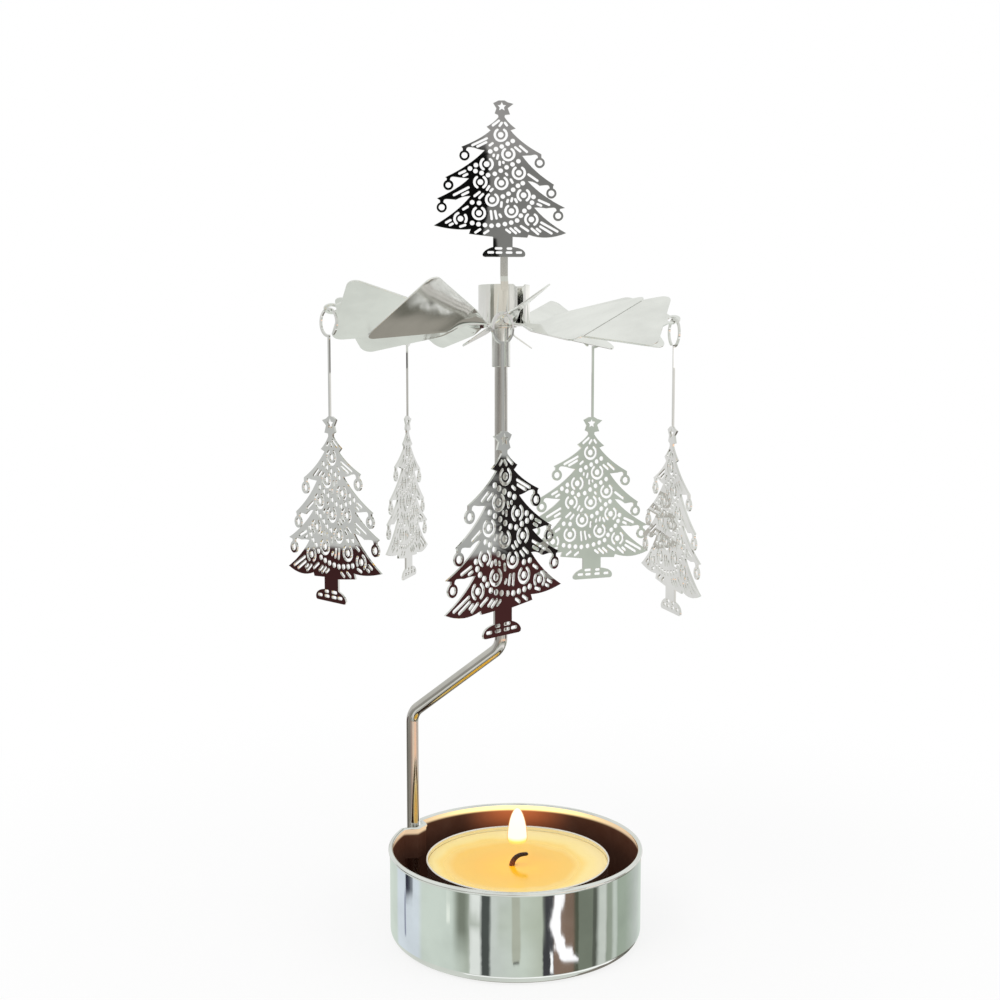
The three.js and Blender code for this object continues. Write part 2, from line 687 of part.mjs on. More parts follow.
// Where charm number index hangs: the ring rests over the outer bridge of its blade's ear.
function charmPlace(index) {
  const azimuth = bladeAngle(2 * index);
  const bend = BLADE_BENDS[2 * index];
  const turned = CHARM_TURN[index];
  const facing = azimuth - 90 + turned;
  const slope = Math.tan(radians(bend.twist)) * Math.cos(radians(turned));
  const bridgeTop = -EAR_HOLE * slope + ROTOR_SHEET / (2 * Math.cos(radians(bend.twist)));
  const ringZ = bridgeTop + RING_CLEARANCE - (RING_OUTER - RING_BAND);
  const hole = polar(EAR_REACH, azimuth, bladeRise(bend, EAR_REACH));
  const centre = hole.add(polar(RING_SHIFT, facing)).add(new THREE.Vector3(0, 0, ringZ));
  return { centre, facing };
}

function charm(index) {
  const { centre, facing } = charmPlace(index);
  const group = new THREE.Group();
  group.position.copy(centre);
  group.rotation.z = radians(facing);
  group.add(mesh(`charm_${index + 1}_hanger`, hanger(), STEEL));
  group.add(mesh(`charm_${index + 1}_tree`, charmTree(), MIRROR));
  return group;
}

// Top ornament: the tree stands on a stem strip that runs down into a band rolled to a collar.

function collarTab(angle, length, clearance) {
  const half = COLLAR_TAB_WIDTH / 2 + clearance;
  const inner = COLLAR_RADIUS - CHARM_SHEET - clearance;
  const outer = COLLAR_RADIUS + clearance;
  return new THREE.BoxGeometry(outer - inner, 2 * half, length)
    .translate((inner + outer) / 2 - 0.03, 0, -length / 2)
    .rotateZ(radians(angle));
}

function collarWithStem() {
  const half = COLLAR_GAP_ANGLE / 2;
  const count = 22;
  const bottom = ROTOR_SHEET / 2 + POINT_GAP;
  const top = bottom + COLLAR_HEIGHT;
  const band = loft(
    range(count + 1).map((i) => {
      const angle = COLLAR_GAP_AT + half + ((360 - COLLAR_GAP_ANGLE) * i) / count;
      const clipped = i === 0 || i === count ? 0.8 : 0;
      return [
        polar(COLLAR_RADIUS - CHARM_SHEET, angle, bottom + clipped),
        polar(COLLAR_RADIUS, angle, bottom + clipped),
        polar(COLLAR_RADIUS, angle, top - clipped),
        polar(COLLAR_RADIUS - CHARM_SHEET, angle, top - clipped),
      ];
    }),
  );
  const tabs = COLLAR_TABS.map((angle) =>
    collarTab(angle, COLLAR_TAB_LENGTH + 0.6, 0).translate(0, 0, bottom + 0.6),
  );
  const front = -COLLAR_RADIUS + CHARM_SHEET / 2;
  const stemTop = STEM_TOP_Z - HUB_Z - JOIN_GAP;
  const lean = [
    [front, top - 1.2],
    [front, top + 0.3],
    [0, top + STEM_SETBACK_RISE],
    [0, stemTop],
  ];
  const thick = CHARM_SHEET / 2;
  const stem = loft(
    lean.map(([y, z], i) => {
      const slanted = i === 1 || i === 2;
      const lift = slanted ? 0.9 * thick : 0;
      const wide = STEM_WIDTH / 2;
      return [
        new THREE.Vector3(-wide, y - thick, z + lift),
        new THREE.Vector3(wide, y - thick, z + lift),
        new THREE.Vector3(wide, y + thick, z - lift),
        new THREE.Vector3(-wide, y + thick, z - lift),
      ];
    }),
  );
  return join(band, ...tabs, stem).translate(COLLAR_ASIDE, 0, 0);
}

function topTree() {
  return upright(treeShape(TOP_TREE_HEIGHT), CHARM_SHEET, 2).translate(COLLAR_ASIDE, 0, STEM_TOP_Z - HUB_Z);
}

// Tealight: a thin cup of wax with a wick held by a tab on its floor.

function tealightCup() {
  const wall = TEALIGHT_WALL;
  const low = TEALIGHT_RADIUS - TEALIGHT_TAPER;
  const corner = [low - TEALIGHT_CORNER, TEALIGHT_CORNER];
  return revolve(
    [
      [0, 0],
      ...arc(corner, TEALIGHT_CORNER, -90, 0, 2),
      [TEALIGHT_RADIUS, TEALIGHT_HEIGHT],
      [TEALIGHT_RADIUS - wall, TEALIGHT_HEIGHT],
      ...arc(corner, TEALIGHT_CORNER - wall, 0, -90, 2),
      [0, wall],
    ],
    evenAngles(24),
  );
}

function wax() {
  const bore = WICK_RADIUS + WICK_CLEARANCE;
  const floor = TEALIGHT_WALL + WAX_GAP;
  const top = TEALIGHT_HEIGHT - WAX_BELOW_RIM;
  const low = TEALIGHT_RADIUS - TEALIGHT_TAPER - TEALIGHT_WALL - WAX_GAP;
  const slope = TEALIGHT_TAPER / (TEALIGHT_HEIGHT - TEALIGHT_CORNER);
  const high = low + slope * (top - TEALIGHT_CORNER);
  const tabTop = floor + TAB_SHEET + WAX_GAP;
  const neckTop = floor + TAB_SHEET + TAB_NECK_HEIGHT + WAX_GAP;
  const neck = bore + TAB_NECK + WAX_GAP;
  return revolve(
    [
      [bore, top - WAX_DISH],
      [bore, neckTop],
      [neck, neckTop],
      [neck, tabTop],
      [TAB_RADIUS + WAX_GAP, tabTop],
      [TAB_RADIUS + WAX_GAP, floor],
      [low - TEALIGHT_CORNER, floor],
      [low, TEALIGHT_CORNER],
      [high, top],
      [0.6 * high, top - WAX_DISH],
    ],
    evenAngles(24),
  );
}

function wickTab() {
  const bore = WICK_RADIUS + WICK_CLEARANCE;
  return revolve(
    [
      [bore, 0],
      [TAB_RADIUS, 0],
      [TAB_RADIUS, TAB_SHEET],
      [bore + TAB_NECK, TAB_SHEET],
      [bore + TAB_NECK, TAB_SHEET + TAB_NECK_HEIGHT],
      [bore, TAB_SHEET + TAB_NECK_HEIGHT],
    ],
    evenAngles(12),
  );
}

function wick() {
  const up = new THREE.Vector3(0, 0, 1);
  const side = new THREE.Vector3(1, 0, 0);
  const bottom = TEALIGHT_WALL + WAX_GAP;
  const surface = TEALIGHT_HEIGHT - WAX_BELOW_RIM - WAX_DISH;
  const straight = (z) => ({ at: new THREE.Vector3(0, 0, z), heading: up, radius: WICK_RADIUS });
  const curl = range(5).map((i) => {
    const t = (i + 1) / 5;
    const heading = up.clone().multiplyScalar(1 - 0.5 * t).addScaledVector(side, 1.3 * t).normalize();
    return {
      at: new THREE.Vector3(WICK_BEND * t * t, 0, surface + WICK_RISE * t * (1.2 - 0.2 * t)),
      heading,
      radius: WICK_RADIUS * (1 - 0.3 * t * t),
    };
  });
  return rod([straight(bottom), straight(surface), ...curl], 8, new THREE.Vector3(0, 1, 0));
}

// Assembly

const holder = new THREE.Group();
holder.add(mesh("candle_tray", candleTray(), CHROME));
holder.add(mesh("pole", pole(), STEEL));

const spinner = new THREE.Group();
spinner.position.set(AXIS.x, AXIS.y, HUB_Z);
spinner.add(mesh("rotor", rotor(), MIRROR));
spinner.add(mesh("bearing_thimble", bearingThimble(), STEEL));
spinner.add(mesh("top_collar", collarWithStem(), MIRROR));
spinner.add(mesh("top_tree", topTree(), MIRROR));
range(BLADE_COUNT / 2).forEach((index) => spinner.add(charm(index)));
holder.add(spinner);

const tealight = new THREE.Group();
tealight.position.set(0.5, 0, FLOOR_Z);
tealight.add(mesh("tealight_cup", tealightCup(), ALUMINIUM));
tealight.add(mesh("wax", wax(), WAX));
const tab = mesh("wick_tab", wickTab(), ALUMINIUM);
tab.position.z = TEALIGHT_WALL;
tealight.add(tab);
tealight.add(mesh("wick", wick(), WICK));
holder.add(tealight);

export default holder;
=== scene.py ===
"""Rotating candle holder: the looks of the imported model.

Shapes are drawn in millimetres, as the tool room would, and a piece becomes metres when it is placed.
"""

import json
from math import asin, atan2, cos, degrees, hypot, pi, radians, sin, sqrt, tan

import bmesh
import bpy
from mathutils import Matrix, Vector

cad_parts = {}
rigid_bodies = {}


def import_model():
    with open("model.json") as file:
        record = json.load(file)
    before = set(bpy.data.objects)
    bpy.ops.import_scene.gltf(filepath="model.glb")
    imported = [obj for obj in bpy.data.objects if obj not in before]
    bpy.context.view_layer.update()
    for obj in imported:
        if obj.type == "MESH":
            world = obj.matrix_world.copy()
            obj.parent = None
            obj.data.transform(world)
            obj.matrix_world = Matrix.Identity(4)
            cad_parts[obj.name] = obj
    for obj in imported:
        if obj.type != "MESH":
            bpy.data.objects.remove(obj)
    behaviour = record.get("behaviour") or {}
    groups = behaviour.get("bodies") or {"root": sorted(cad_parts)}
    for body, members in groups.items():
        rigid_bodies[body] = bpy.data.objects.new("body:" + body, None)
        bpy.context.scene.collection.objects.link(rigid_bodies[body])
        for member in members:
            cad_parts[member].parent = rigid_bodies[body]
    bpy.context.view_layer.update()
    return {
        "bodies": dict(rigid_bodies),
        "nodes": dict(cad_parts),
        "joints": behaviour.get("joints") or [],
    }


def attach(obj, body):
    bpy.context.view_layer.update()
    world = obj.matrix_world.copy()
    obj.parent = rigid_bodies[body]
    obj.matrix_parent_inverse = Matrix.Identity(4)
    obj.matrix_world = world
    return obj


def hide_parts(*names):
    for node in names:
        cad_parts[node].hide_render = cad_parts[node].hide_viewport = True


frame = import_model()

MM = 0.001

# Cup that stands on the table
CUP_RADIUS = 25.9
CUP_HEIGHT = 18.4
CUP_WALL = 0.4
CUP_CORNER = 1.8
RIM_BEAD = 0.5
RIM_PROUD = 0.3
SLIT_HEIGHT = 11.6
POCKET_DEPTH = 5.8
POCKET_ROUND = 1.8
CUP_FACETS = 360
# Where the inside's painted brown shade ends below the rim
INSIDE_TOP = 18

# Pole
POLE_RADIUS = 1.3
POLE_AZIMUTH = 150
POLE_OFFSET = 25.2
POLE_GAP = 0.3
LOWER_BEND_Z = 42.9
UPPER_BEND_Z = 59.5
BEND_RADIUS = 4
POLE_POINT = 2.6

# Rotor, one stamped sheet
ROTOR_SHEET = 0.3
ROTOR_EDGE = 0.06
HUB_Z = 125
FIRST_BLADE = -89
HUB_RADIUS = 7.2
BLADE_REACH = 33
BLADE_CORNER = 2.6
BLADE_SLIT = 1.1
TWIST_LENGTH = 7
# Twist and rise of each blade in degrees, from the front blade anticlockwise
BLADE_BENDS = (
    (35, 2.1), (25, 1.2), (31, 1.5), (34, 2.1), (34, 1.6),
    (34, 2.1), (34, 2.6), (34, 0.3), (34, 5.8), (34, 5.4),
)
BLADE_COUNT = len(BLADE_BENDS)
EAR_RADIUS = 1.6
EAR_HOLE = 0.9
EAR_OUT = 1.4

# Thimble
THIMBLE_BORE = 1.5
THIMBLE_RADIUS = 1.85
THIMBLE_LENGTH = 8.4
THIMBLE_HEAD = 1.2
THIMBLE_CAP = 0.5
FLANGE_WIDTH = 1.3
FLANGE_SHEET = 0.3

# Charms and the tree on top
CHARM_SHEET = 0.4
CHARM_TREE_HEIGHT = 36.4
CHARM_TREE_WIDER = 0.988
TOP_TREE_HEIGHT = 30.4
TOP_TREE_WIDER = 1.0135
TOP_TREE_ASIDE = 0.35
RING_OUTER = 2.85
RING_BAND = 0.5
RING_GAP = 33
STRIP_WIDTH = 0.5
STRIP_LENGTH = 15.2
STEM_WIDTH = 1.5
STEM_TOP_Z = 138.4
STEM_SETBACK_RISE = 1.6
COLLAR_RADIUS = 5.15
COLLAR_HEIGHT = 7.6
COLLAR_ASIDE = 0.6
COLLAR_GAP_ANGLE = 16
COLLAR_GAP_AT = -52
COLLAR_TABS = (-150, 90, 0)
COLLAR_TAB_WIDTH = 1.6
COLLAR_TAB_HEIGHT = 1.6
# How much and over how many degrees the collar's corners are clipped at its gap
COLLAR_CLIP = 0.8
COLLAR_CLIP_ANGLE = 9
COLLAR_EDGE = 0.07

# Tealight
TEALIGHT_X = 0.5
TEALIGHT_RADIUS = 19
TEALIGHT_HEIGHT = 15.2
TEALIGHT_WALL = 0.3
TEALIGHT_TAPER = 0.6
WAX_BELOW_RIM = 1.3
WAX_DISH = 0.5
WICK_RADIUS = 0.6
WICK_STEPS = 14
WICK_LEAN = 88
WICK_LENGTH = 4.6
WICK_THINNING = 0.965
FLAME_HEIGHT = 7.7
FLAME_RADIUS = 2.1
FLAME_BASE_Z = 18.3
FLAME_BELLY = 0.15
FLAME_ASIDE = 0.4
MANTLE_GAP = 0.16

# The photograph's camera, found from the ellipses of the cup and the rotor
CAMERA_PLACE = (-0.00634, -0.2707, 0.1179)
CAMERA_PITCH = 5.9
CAMERA_YAW = 0.67
FOCAL_LENGTH = 48.6

JOINTS = {joint["name"]: joint for joint in frame["joints"]}
AXIS = Vector(JOINTS["rotor_spin"]["pos_m"]) / MM
AXIS.z = 0
HUB = AXIS + Vector((0, 0, HUB_Z))


def polar(radius, angle, z=0):
    """The point at a radius and an angle in degrees about Z."""
    angle = radians(angle)
    return Vector((radius * cos(angle), radius * sin(angle), z))


def smooth(share):
    """The smoothstep curve from 0 to 1."""
    share = min(max(share, 0.0), 1.0)
    return share * share * (3 - 2 * share)


def steps(count):
    """Even shares from 0 to 1."""
    return [i / count for i in range(count + 1)]


def new_object(name, data):
    """An object with this data, linked to the scene."""
    made = bpy.data.objects.new(name, data)
    bpy.context.scene.collection.objects.link(made)
    return made


def set_camera():
    """Puts the camera where the photograph was taken."""
    bpy.context.scene.view_settings.view_transform = "Standard"
    data = bpy.data.cameras.new("camera")
    data.lens = FOCAL_LENGTH
    data.sensor_width = 36
    data.sensor_fit = "HORIZONTAL"
    data.clip_start = 0.01
    camera = new_object("camera", data)
    camera.location = CAMERA_PLACE
    camera.rotation_euler = (radians(90 - CAMERA_PITCH), 0, radians(-CAMERA_YAW))
    bpy.context.scene.camera = camera


def operation(kind):
    """A method that applies one maths node to a field and another value, if it takes one."""
    return lambda field, *others: field._maths(kind, field, *others)


class Field:
    """A shader socket that takes part in Python arithmetic."""

    def __init__(self, look, socket):
        self.look = look
        self.socket = socket

    def _maths(self, kind, *values):
        return self.look.node("ShaderNodeMath", {"operation": kind}, values).out(0)

    def __rsub__(self, other):
        return self._maths("SUBTRACT", other, self)

    __add__ = __radd__ = operation("ADD")
    __sub__ = operation("SUBTRACT")
    __mul__ = operation("MULTIPLY")
    __truediv__ = operation("DIVIDE")
    greatest = operation("MAXIMUM")
    absolute = operation("ABSOLUTE")
    wave = operation("SINE")
    root = operation("SQRT")
    angle_of = operation("ARCTAN2")


class Made:
    """A shader node whose outputs come out as fields."""

    def __init__(self, look, shader_node):
        self.look = look
        self.shader_node = shader_node

    def out(self, key):
        return Field(self.look, self.shader_node.outputs[key])


class Look:
    """The node tree of a material or a world, written as Python."""

    def __init__(self, owner):
        owner.use_nodes = True
        self.tree = owner.node_tree
        self.tree.nodes.clear()

    def node(self, kind, settings=None, values=()):
        """Makes one node. Its values are a list or a dictionary by socket; a colour has three numbers."""
        made = self.tree.nodes.new(kind)
        for key, value in (settings or {}).items():
            if key == "stops":
                self._set_stops(made.color_ramp, value)
            else:
                setattr(made, key, value)
        pairs = values.items() if isinstance(values, dict) else enumerate(values)
        for key, value in pairs:
            if isinstance(value, Field):
                self.tree.links.new(value.socket, made.inputs[key])
            else:
                socket = made.inputs[key]
                socket.default_value = (*value, 1) if socket.type == "RGBA" else value
        return Made(self, made)

    @staticmethod
    def _set_stops(ramp, stops):
        while len(ramp.elements) < len(stops):
            ramp.elements.new(1.0)
        for element, (place, shade) in zip(ramp.elements, stops):
            element.position = place
            element.color = (*shade, 1)

    def place(self):
        """The piece's own coordinates, in metres."""
        return self.node("ShaderNodeTexCoord").out("Object")

    def split(self, vector):
        made = self.node("ShaderNodeSeparateXYZ", None, [vector])
        return made.out(0), made.out(1), made.out(2)

    def moved(self, vector, offset, scale=(1, 1, 1)):
        return self.node("ShaderNodeMapping", None, [vector, offset, (0, 0, 0), scale]).out(0)

    def noise(self, vector, scale, detail=2.0, roughness=0.5):
        values = {"Vector": vector, "Scale": scale, "Detail": detail, "Roughness": roughness}
        return self.node("ShaderNodeTexNoise", None, values).out("Fac")

    def ramp(self, field, stops, blend="LINEAR"):
        made = self.node("ShaderNodeValToRGB", {"stops": stops}, [field])
        made.shader_node.color_ramp.interpolation = blend
        return made.out("Color")

    def mix(self, share, first, second):
        values = {0: share, 6: first, 7: second}
        return self.node("ShaderNodeMix", {"data_type": "RGBA"}, values).out(2)

    def _ranged(self, field, low, high, first, last):
        settings = {"interpolation_type": "SMOOTHSTEP"}
        return self.node("ShaderNodeMapRange", settings, [field, low, high, first, last]).out(0)

    def rise(self, field, low, high):
        """0 below low, 1 above high and smooth between them."""
        return self._ranged(field, low, high, 0, 1)

    def within(self, field, middle, reach, soft):
        """1 where field is nearer to middle than reach, 0 beyond and smooth at the edge."""
        return self._ranged((field - middle).absolute(), reach - soft, reach + soft, 1, 0)

    def bump(self, height, distance):
        values = {"Distance": distance, "Height": height}
        return self.node("ShaderNodeBump", None, values).out(0)


def material(name, paint, **constants):
    """A principled material: paint(look) gives what varies, constants give the rest."""
    made = bpy.data.materials.new(name)
    look = Look(made)
    values = {**constants, **paint(look)}
    shader = look.node("ShaderNodeBsdfPrincipled", None, values)
    look.node("ShaderNodeOutputMaterial", None, {"Surface": shader.out(0)})
    return made


def polished(name, tint, waviness, grain=0.05, dull=0.035):
    """Bright plated steel: faint clouding, a trace of sheet waviness and fine rubbing marks.

    dull is its plain roughness and grain what the rubbing adds.
    """

    def paint(look):
        place = look.place()
        cloud = look.noise(place, 90.0, 3.0, 0.6)
        rub = look.noise(look.moved(place, (0, 0, 0), (1, 1, 0.08)), 2400.0, 2.0, 0.7)
        dark = [value * 0.88 for value in tint]
        shade = look.mix(look.rise(cloud, 0.3, 0.7), dark, tint)
        rough = dull + cloud * dull + rub * grain
        wave = look.noise(look.moved(place, (0.013, 0.007, 0.003)), 55.0, 1.0, 0.4)
        return {"Base Color": shade, "Roughness": rough, "Normal": look.bump(wave, waviness)}

    return material(name, paint, Metallic=1.0)


def inside_of_cup():
    """The cup's inside: painted brown shade for its shade and dark reflections, lighter towards the rim,
    with a painted glow of the flame behind it and a painted highlight line below the rim.
    """

    def paint(look):
        place = look.place()
        x, y, z = look.split(place)
        blotches = look.noise(place, 140.0, 4.0, 0.6)
        blotched = look.rise(blotches, 0.3, 0.72)
        # Painted shade: two dark browns, mottled at random, stand in for the inside's shade and its dark
        # reflections
        shade = look.mix(blotched, (0.060, 0.036, 0.026), (0.105, 0.068, 0.050))
        # Painted light: the inside is made lighter towards the rim, where it catches the light
        lit_towards_rim = look.mix(look.rise(z, 0.0155, CUP_HEIGHT * MM), shade, (0.14, 0.078, 0.046))
        back = look.rise(y, -0.010, 0.010)
        aside = (x - 0.001).absolute()
        beside = 1 - look.rise(aside, 0.001, 0.013)
        # Painted light: an emission glow for the flame's light on the back of the inside
        warm = look.rise(z, 0.0105, 0.0172) * back * (0.05 + beside * 0.95)
        # Painted highlight: a bright emission line below the rim for the flame's reflection
        edge = look.rise(z, 0.0166, 0.0173) * (0.25 + back * 0.75)
        glow = look.mix(warm, (0.015, 0.005, 0.003), (0.62, 0.15, 0.045))
        far = look.rise(aside, 0.004, 0.024)
        bright = look.mix(far, (2.3, 1.75, 0.72), (0.95, 0.70, 0.46))
        wave = look.noise(place, 120.0, 1.0, 0.4)
        return {
            "Base Color": lit_towards_rim,
            "Roughness": 0.24 + blotches * 0.16,
            "Emission Color": look.mix(edge, glow, bright),
            "Normal": look.bump(wave, 0.00035),
        }

    return material("cup_inside", paint, **{"Metallic": 0.5, "Emission Strength": 0.8})


def aluminium_foil():
    """The tealight's cup: thin drawn aluminium, with the fine rings of the drawing die."""

    def paint(look):
        place = look.place()
        z = look.split(place)[2]
        rings = (z * 9000.0 + look.noise(place, 300.0) * 2.0).wave()
        cloud = look.noise(place, 260.0)
        shade = look.mix(cloud, (0.86, 0.83, 0.79), (0.95, 0.93, 0.90))
        rough = 0.26 + rings * 0.02
        return {"Base Color": shade, "Roughness": rough, "Normal": look.bump(rings, 0.000004)}

    return material("tealight_foil", paint, Metallic=1.0)


def candle_wax():
    """Wax: pale and set at the edge, a clear golden pool round the wick, and a painted glow for the flame's
    light through it.
    """

    def paint(look):
        place = look.place()
        x, y = look.split(look.moved(place, (-WICK_ROOT.x * MM, 0, 0)))[:2]
        shore = look.noise(place, 130.0, 2.0, 0.5)
        away = (x * x + y * y).root() / (TEALIGHT_RADIUS * MM) + (shore - 0.5) * 0.16
        stops = (
            (0.0, (0.93, 0.49, 0.016)),
            (0.3, (0.93, 0.52, 0.017)),
            (0.62, (0.93, 0.54, 0.024)),
            (0.74, (0.94, 0.66, 0.16)),
            (0.86, (0.95, 0.78, 0.34)),
            (1.0, (0.96, 0.80, 0.42)),
        )
        shade = look.ramp(away, stops, "EASE")
        liquid = 1 - look.rise(away, 0.66, 0.82)
        rough = 0.42 - liquid * 0.27
        grain = look.noise(place, 900.0, 3.0, 0.6) * (1 - liquid)
        to_edge = look.rise(away, 0.1, 0.9)
        # Painted light: an emission glow stands in for the flame's light through the wax
        glow = look.mix(to_edge, (0.70, 0.34, 0.01), (0.80, 0.62, 0.22))
        return {
            "Base Color": shade,
            "Roughness": rough,
            "Coat Weight": liquid * 0.5,
            "Emission Color": glow,
            "Normal": look.bump(grain, 0.00004),
        }

    constants = {"Emission Strength": 0.15, "Coat Roughness": 0.22, "IOR": 1.33}
    return material("candle_wax", paint, **constants)


def burnt_wick():
    """Cotton braid: wax-brown at its foot and charred to its tip."""

    def paint(look):
        place = look.place()
        x, _, z = look.split(place)
        braid = ((z + x) * 9000.0 + look.noise(place, 900.0) * 4.0).wave()
        low = WAX_TOP * MM
        char = look.rise(z, low + 0.0003, low + 0.0022)
        shade = look.mix(char, (0.20, 0.05, 0.015), (0.022, 0.010, 0.008))
        rough = 0.62 + braid * 0.12
        return {"Base Color": shade, "Roughness": rough, "Normal": look.bump(braid, 0.00008)}

    return material("burnt_wick", paint)


def candle_flame(name, strength, thin, stops):
    """A steady flame's light: clear at its foot, and coloured from there to its tip."""

    def paint(look):
        z = look.split(look.place())[2]
        height = (z - FLAME_BASE_Z * MM) / (FLAME_HEIGHT * MM)
        shade = look.ramp(height, stops)
        clear = look.rise(height, 0.02, 0.17) * thin
        return {"Emission Color": shade, "Alpha": clear}

    constants = {"Base Color": (0, 0, 0), "Roughness": 1.0, "Specular IOR Level": 0.0}
    return material(name, paint, **{**constants, "Emission Strength": strength})


def scene_object(name, mesh):
    """Links a mesh to the scene with its sharp edges kept and its faces smooth."""
    for face in mesh.polygons:
        face.use_smooth = True
    mesh.set_sharp_from_angle(angle=radians(32))
    made = new_object(name, mesh)
    weighted = made.modifiers.new("weighted", "WEIGHTED_NORMAL")
    weighted.keep_sharp = True
    return made


def piece(name, bm, materials, body, slot, *nodes):
    """Turns a shape in millimetres into a piece in metres that stands for CAD nodes."""
    bmesh.ops.scale(bm, vec=(MM, MM, MM), verts=bm.verts)
    mesh = bpy.data.meshes.new(name)
    bm.to_mesh(mesh)
    bm.free()
    made = scene_object(name, mesh)
    for each in materials:
        mesh.materials.append(each)
    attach(made, body)
    if nodes:
        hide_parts(*nodes)
    return made


def arc(centre, radius, start, end, count):
    """Points of a flat arc, in degrees from start to end."""
    angles = [radians(start + (end - start) * share) for share in steps(count)]
    return [(centre[0] + radius * cos(a), centre[1] + radius * sin(a)) for a in angles]


def outward(bm, merge=0):
    """Merges verts that are nearer than merge and turns the faces outwards."""
    if merge:
        bmesh.ops.remove_doubles(bm, verts=bm.verts, dist=merge)
    bmesh.ops.recalc_face_normals(bm, faces=bm.faces)
    return bm


def lathe(profile, count):
    """A profile of (radius, height) spun about Z. It closes on the axis or on itself."""
    bm = bmesh.new()
    verts = [bm.verts.new((radius, 0, z)) for radius, z in profile]
    edges = [bm.edges.new(pair) for pair in zip(verts, verts[1:])]
    if profile[0][0] > 0:
        edges.append(bm.edges.new((verts[-1], verts[0])))
    about = {"cent": (0, 0, 0), "axis": (0, 0, 1), "angle": 2 * pi}
    bmesh.ops.spin(bm, geom=verts + edges, steps=count, use_merge=True, **about)
    return outward(bm, 1e-5)


def shifted(bm, offset):
    bmesh.ops.translate(bm, vec=offset, verts=bm.verts)
    return bm


def turned(bm, angle, axis="Z"):
    """Turns a shape about an axis through the origin."""
    matrix = Matrix.Rotation(angle, 3, axis)
    bmesh.ops.rotate(bm, cent=(0, 0, 0), matrix=matrix, verts=bm.verts)
    return bm


def added(bm, other):
    """Adds another shape's mesh to a shape."""
    mesh = bpy.data.meshes.new("part")
    other.to_mesh(mesh)
    other.free()
    bm.from_mesh(mesh)
    return bm


# Cup

POLE_SOCKET = POLE_RADIUS + POLE_GAP
RIM_DENT = CUP_RADIUS + RIM_PROUD - (POLE_OFFSET - POLE_SOCKET)
POCKET_BULGE = POLE_OFFSET + POLE_SOCKET + POLE_GAP / 3 - (CUP_RADIUS - CUP_WALL)
POCKET_FLOOR_Z = SLIT_HEIGHT - POCKET_DEPTH


def socket_angle(width):
    return degrees(width / POLE_OFFSET)


def near_pole(place, flat):
    """1 beside the pole, falling to 0 over a pole's width on each side of it."""
    angle = degrees(atan2(place.y, place.x))
    away = abs((angle - POLE_AZIMUTH + 180) % 360 - 180)
    return 1 - smooth((away - socket_angle(flat)) / socket_angle(1.6 * POLE_RADIUS))


def pocket_reach(z):
    below = max(0, POCKET_FLOOR_Z + POCKET_ROUND - z) / POCKET_ROUND
    return 0 if below >= 1 else sqrt(1 - below * below)


def pushed_out(place, amount):
    """Moves a point of the cup's wall outwards, or inwards where the amount is negative."""
    flat = Vector((place.x, place.y, 0))
    place += flat.normalized() * amount


def cup():
    """The cup: a drawn tin with a rolled rim, pressed in and out where the pole stands in its wall."""
    inner = CUP_RADIUS - CUP_WALL
    corner = (CUP_RADIUS - CUP_CORNER, CUP_CORNER)
    rows = [POCKET_FLOOR_Z + share * (SLIT_HEIGHT - POCKET_FLOOR_Z) for share in steps(14)]
    lower = [(0, 0), (12, 0)]
    lower += arc(corner, CUP_CORNER, -90, 0, 10)
    lower += [(CUP_RADIUS, z) for z in rows]
    lower += [(inner, z) for z in reversed(rows)]
    lower += arc(corner, CUP_CORNER - CUP_WALL, 0, -90, 8)
    lower += [(12, CUP_WALL), (0, CUP_WALL)]
    bead = (CUP_RADIUS + RIM_PROUD - RIM_BEAD, CUP_HEIGHT - RIM_BEAD)
    upper = [(CUP_RADIUS, SLIT_HEIGHT), (CUP_RADIUS, SLIT_HEIGHT + 3)]
    upper += arc(bead, RIM_BEAD, -60, 240, 16)
    upper += [(inner, SLIT_HEIGHT + 3), (inner, SLIT_HEIGHT)]

    bm = lathe(lower, CUP_FACETS)
    for vert in [v for v in bm.verts if v.co.xy.length > inner - 0.01]:
        bulge = POCKET_BULGE * pocket_reach(vert.co.z)
        pushed_out(vert.co, bulge * near_pole(vert.co, 0.8 * POLE_RADIUS))
    band = lathe(upper, CUP_FACETS)
    for face in band.faces:
        middle = face.calc_center_median()
        face.material_index = int(middle.xy.length < CUP_RADIUS - CUP_WALL / 2 and middle.z < INSIDE_TOP)
    for vert in band.verts:
        pushed_out(vert.co, -RIM_DENT * near_pole(vert.co, 1.2 * POLE_RADIUS))
    for face in bm.faces:
        middle = face.calc_center_median()
        towards = face.normal.dot(-middle.xy.normalized().to_3d())
        inside = towards > 0.1 or face.normal.z > 0.5
        face.material_index = int(middle.z > CUP_WALL / 2 and inside)
    piece("cup", added(bm, band), [OUTSIDE_CHROME, CUP_INSIDE], "tray", "candle_tray", "candle_tray")


# Pole


def rod(radius, segments, foot):
    """A round disc at the foot of a rod: its shape, and the ring of edges that grown() extrudes."""
    bm = bmesh.new()
    start = bmesh.ops.create_circle(bm, cap_ends=True, radius=radius, segments=segments)
    bmesh.ops.translate(bm, vec=foot, verts=start["verts"])
    return bm, list(bm.edges)


def ring_of(result):
    """The verts and edges of what an operator made."""
    verts = [item for item in result if isinstance(item, bmesh.types.BMVert)]
    edges = [item for item in result if isinstance(item, bmesh.types.BMEdge)]
    return verts, edges


def grown(bm, edges, offset, scale=1.0):
    """Extrudes a ring of edges by an offset and scales its new end about its middle."""
    verts, edges = ring_of(bmesh.ops.extrude_edge_only(bm, edges=edges)["geom"])
    bmesh.ops.translate(bm, vec=offset, verts=verts)
    middle = sum((v.co for v in verts), Vector()) / len(verts)
    bmesh.ops.scale(bm, vec=(scale, scale, scale), verts=verts, space=Matrix.Translation(-middle))
    return edges


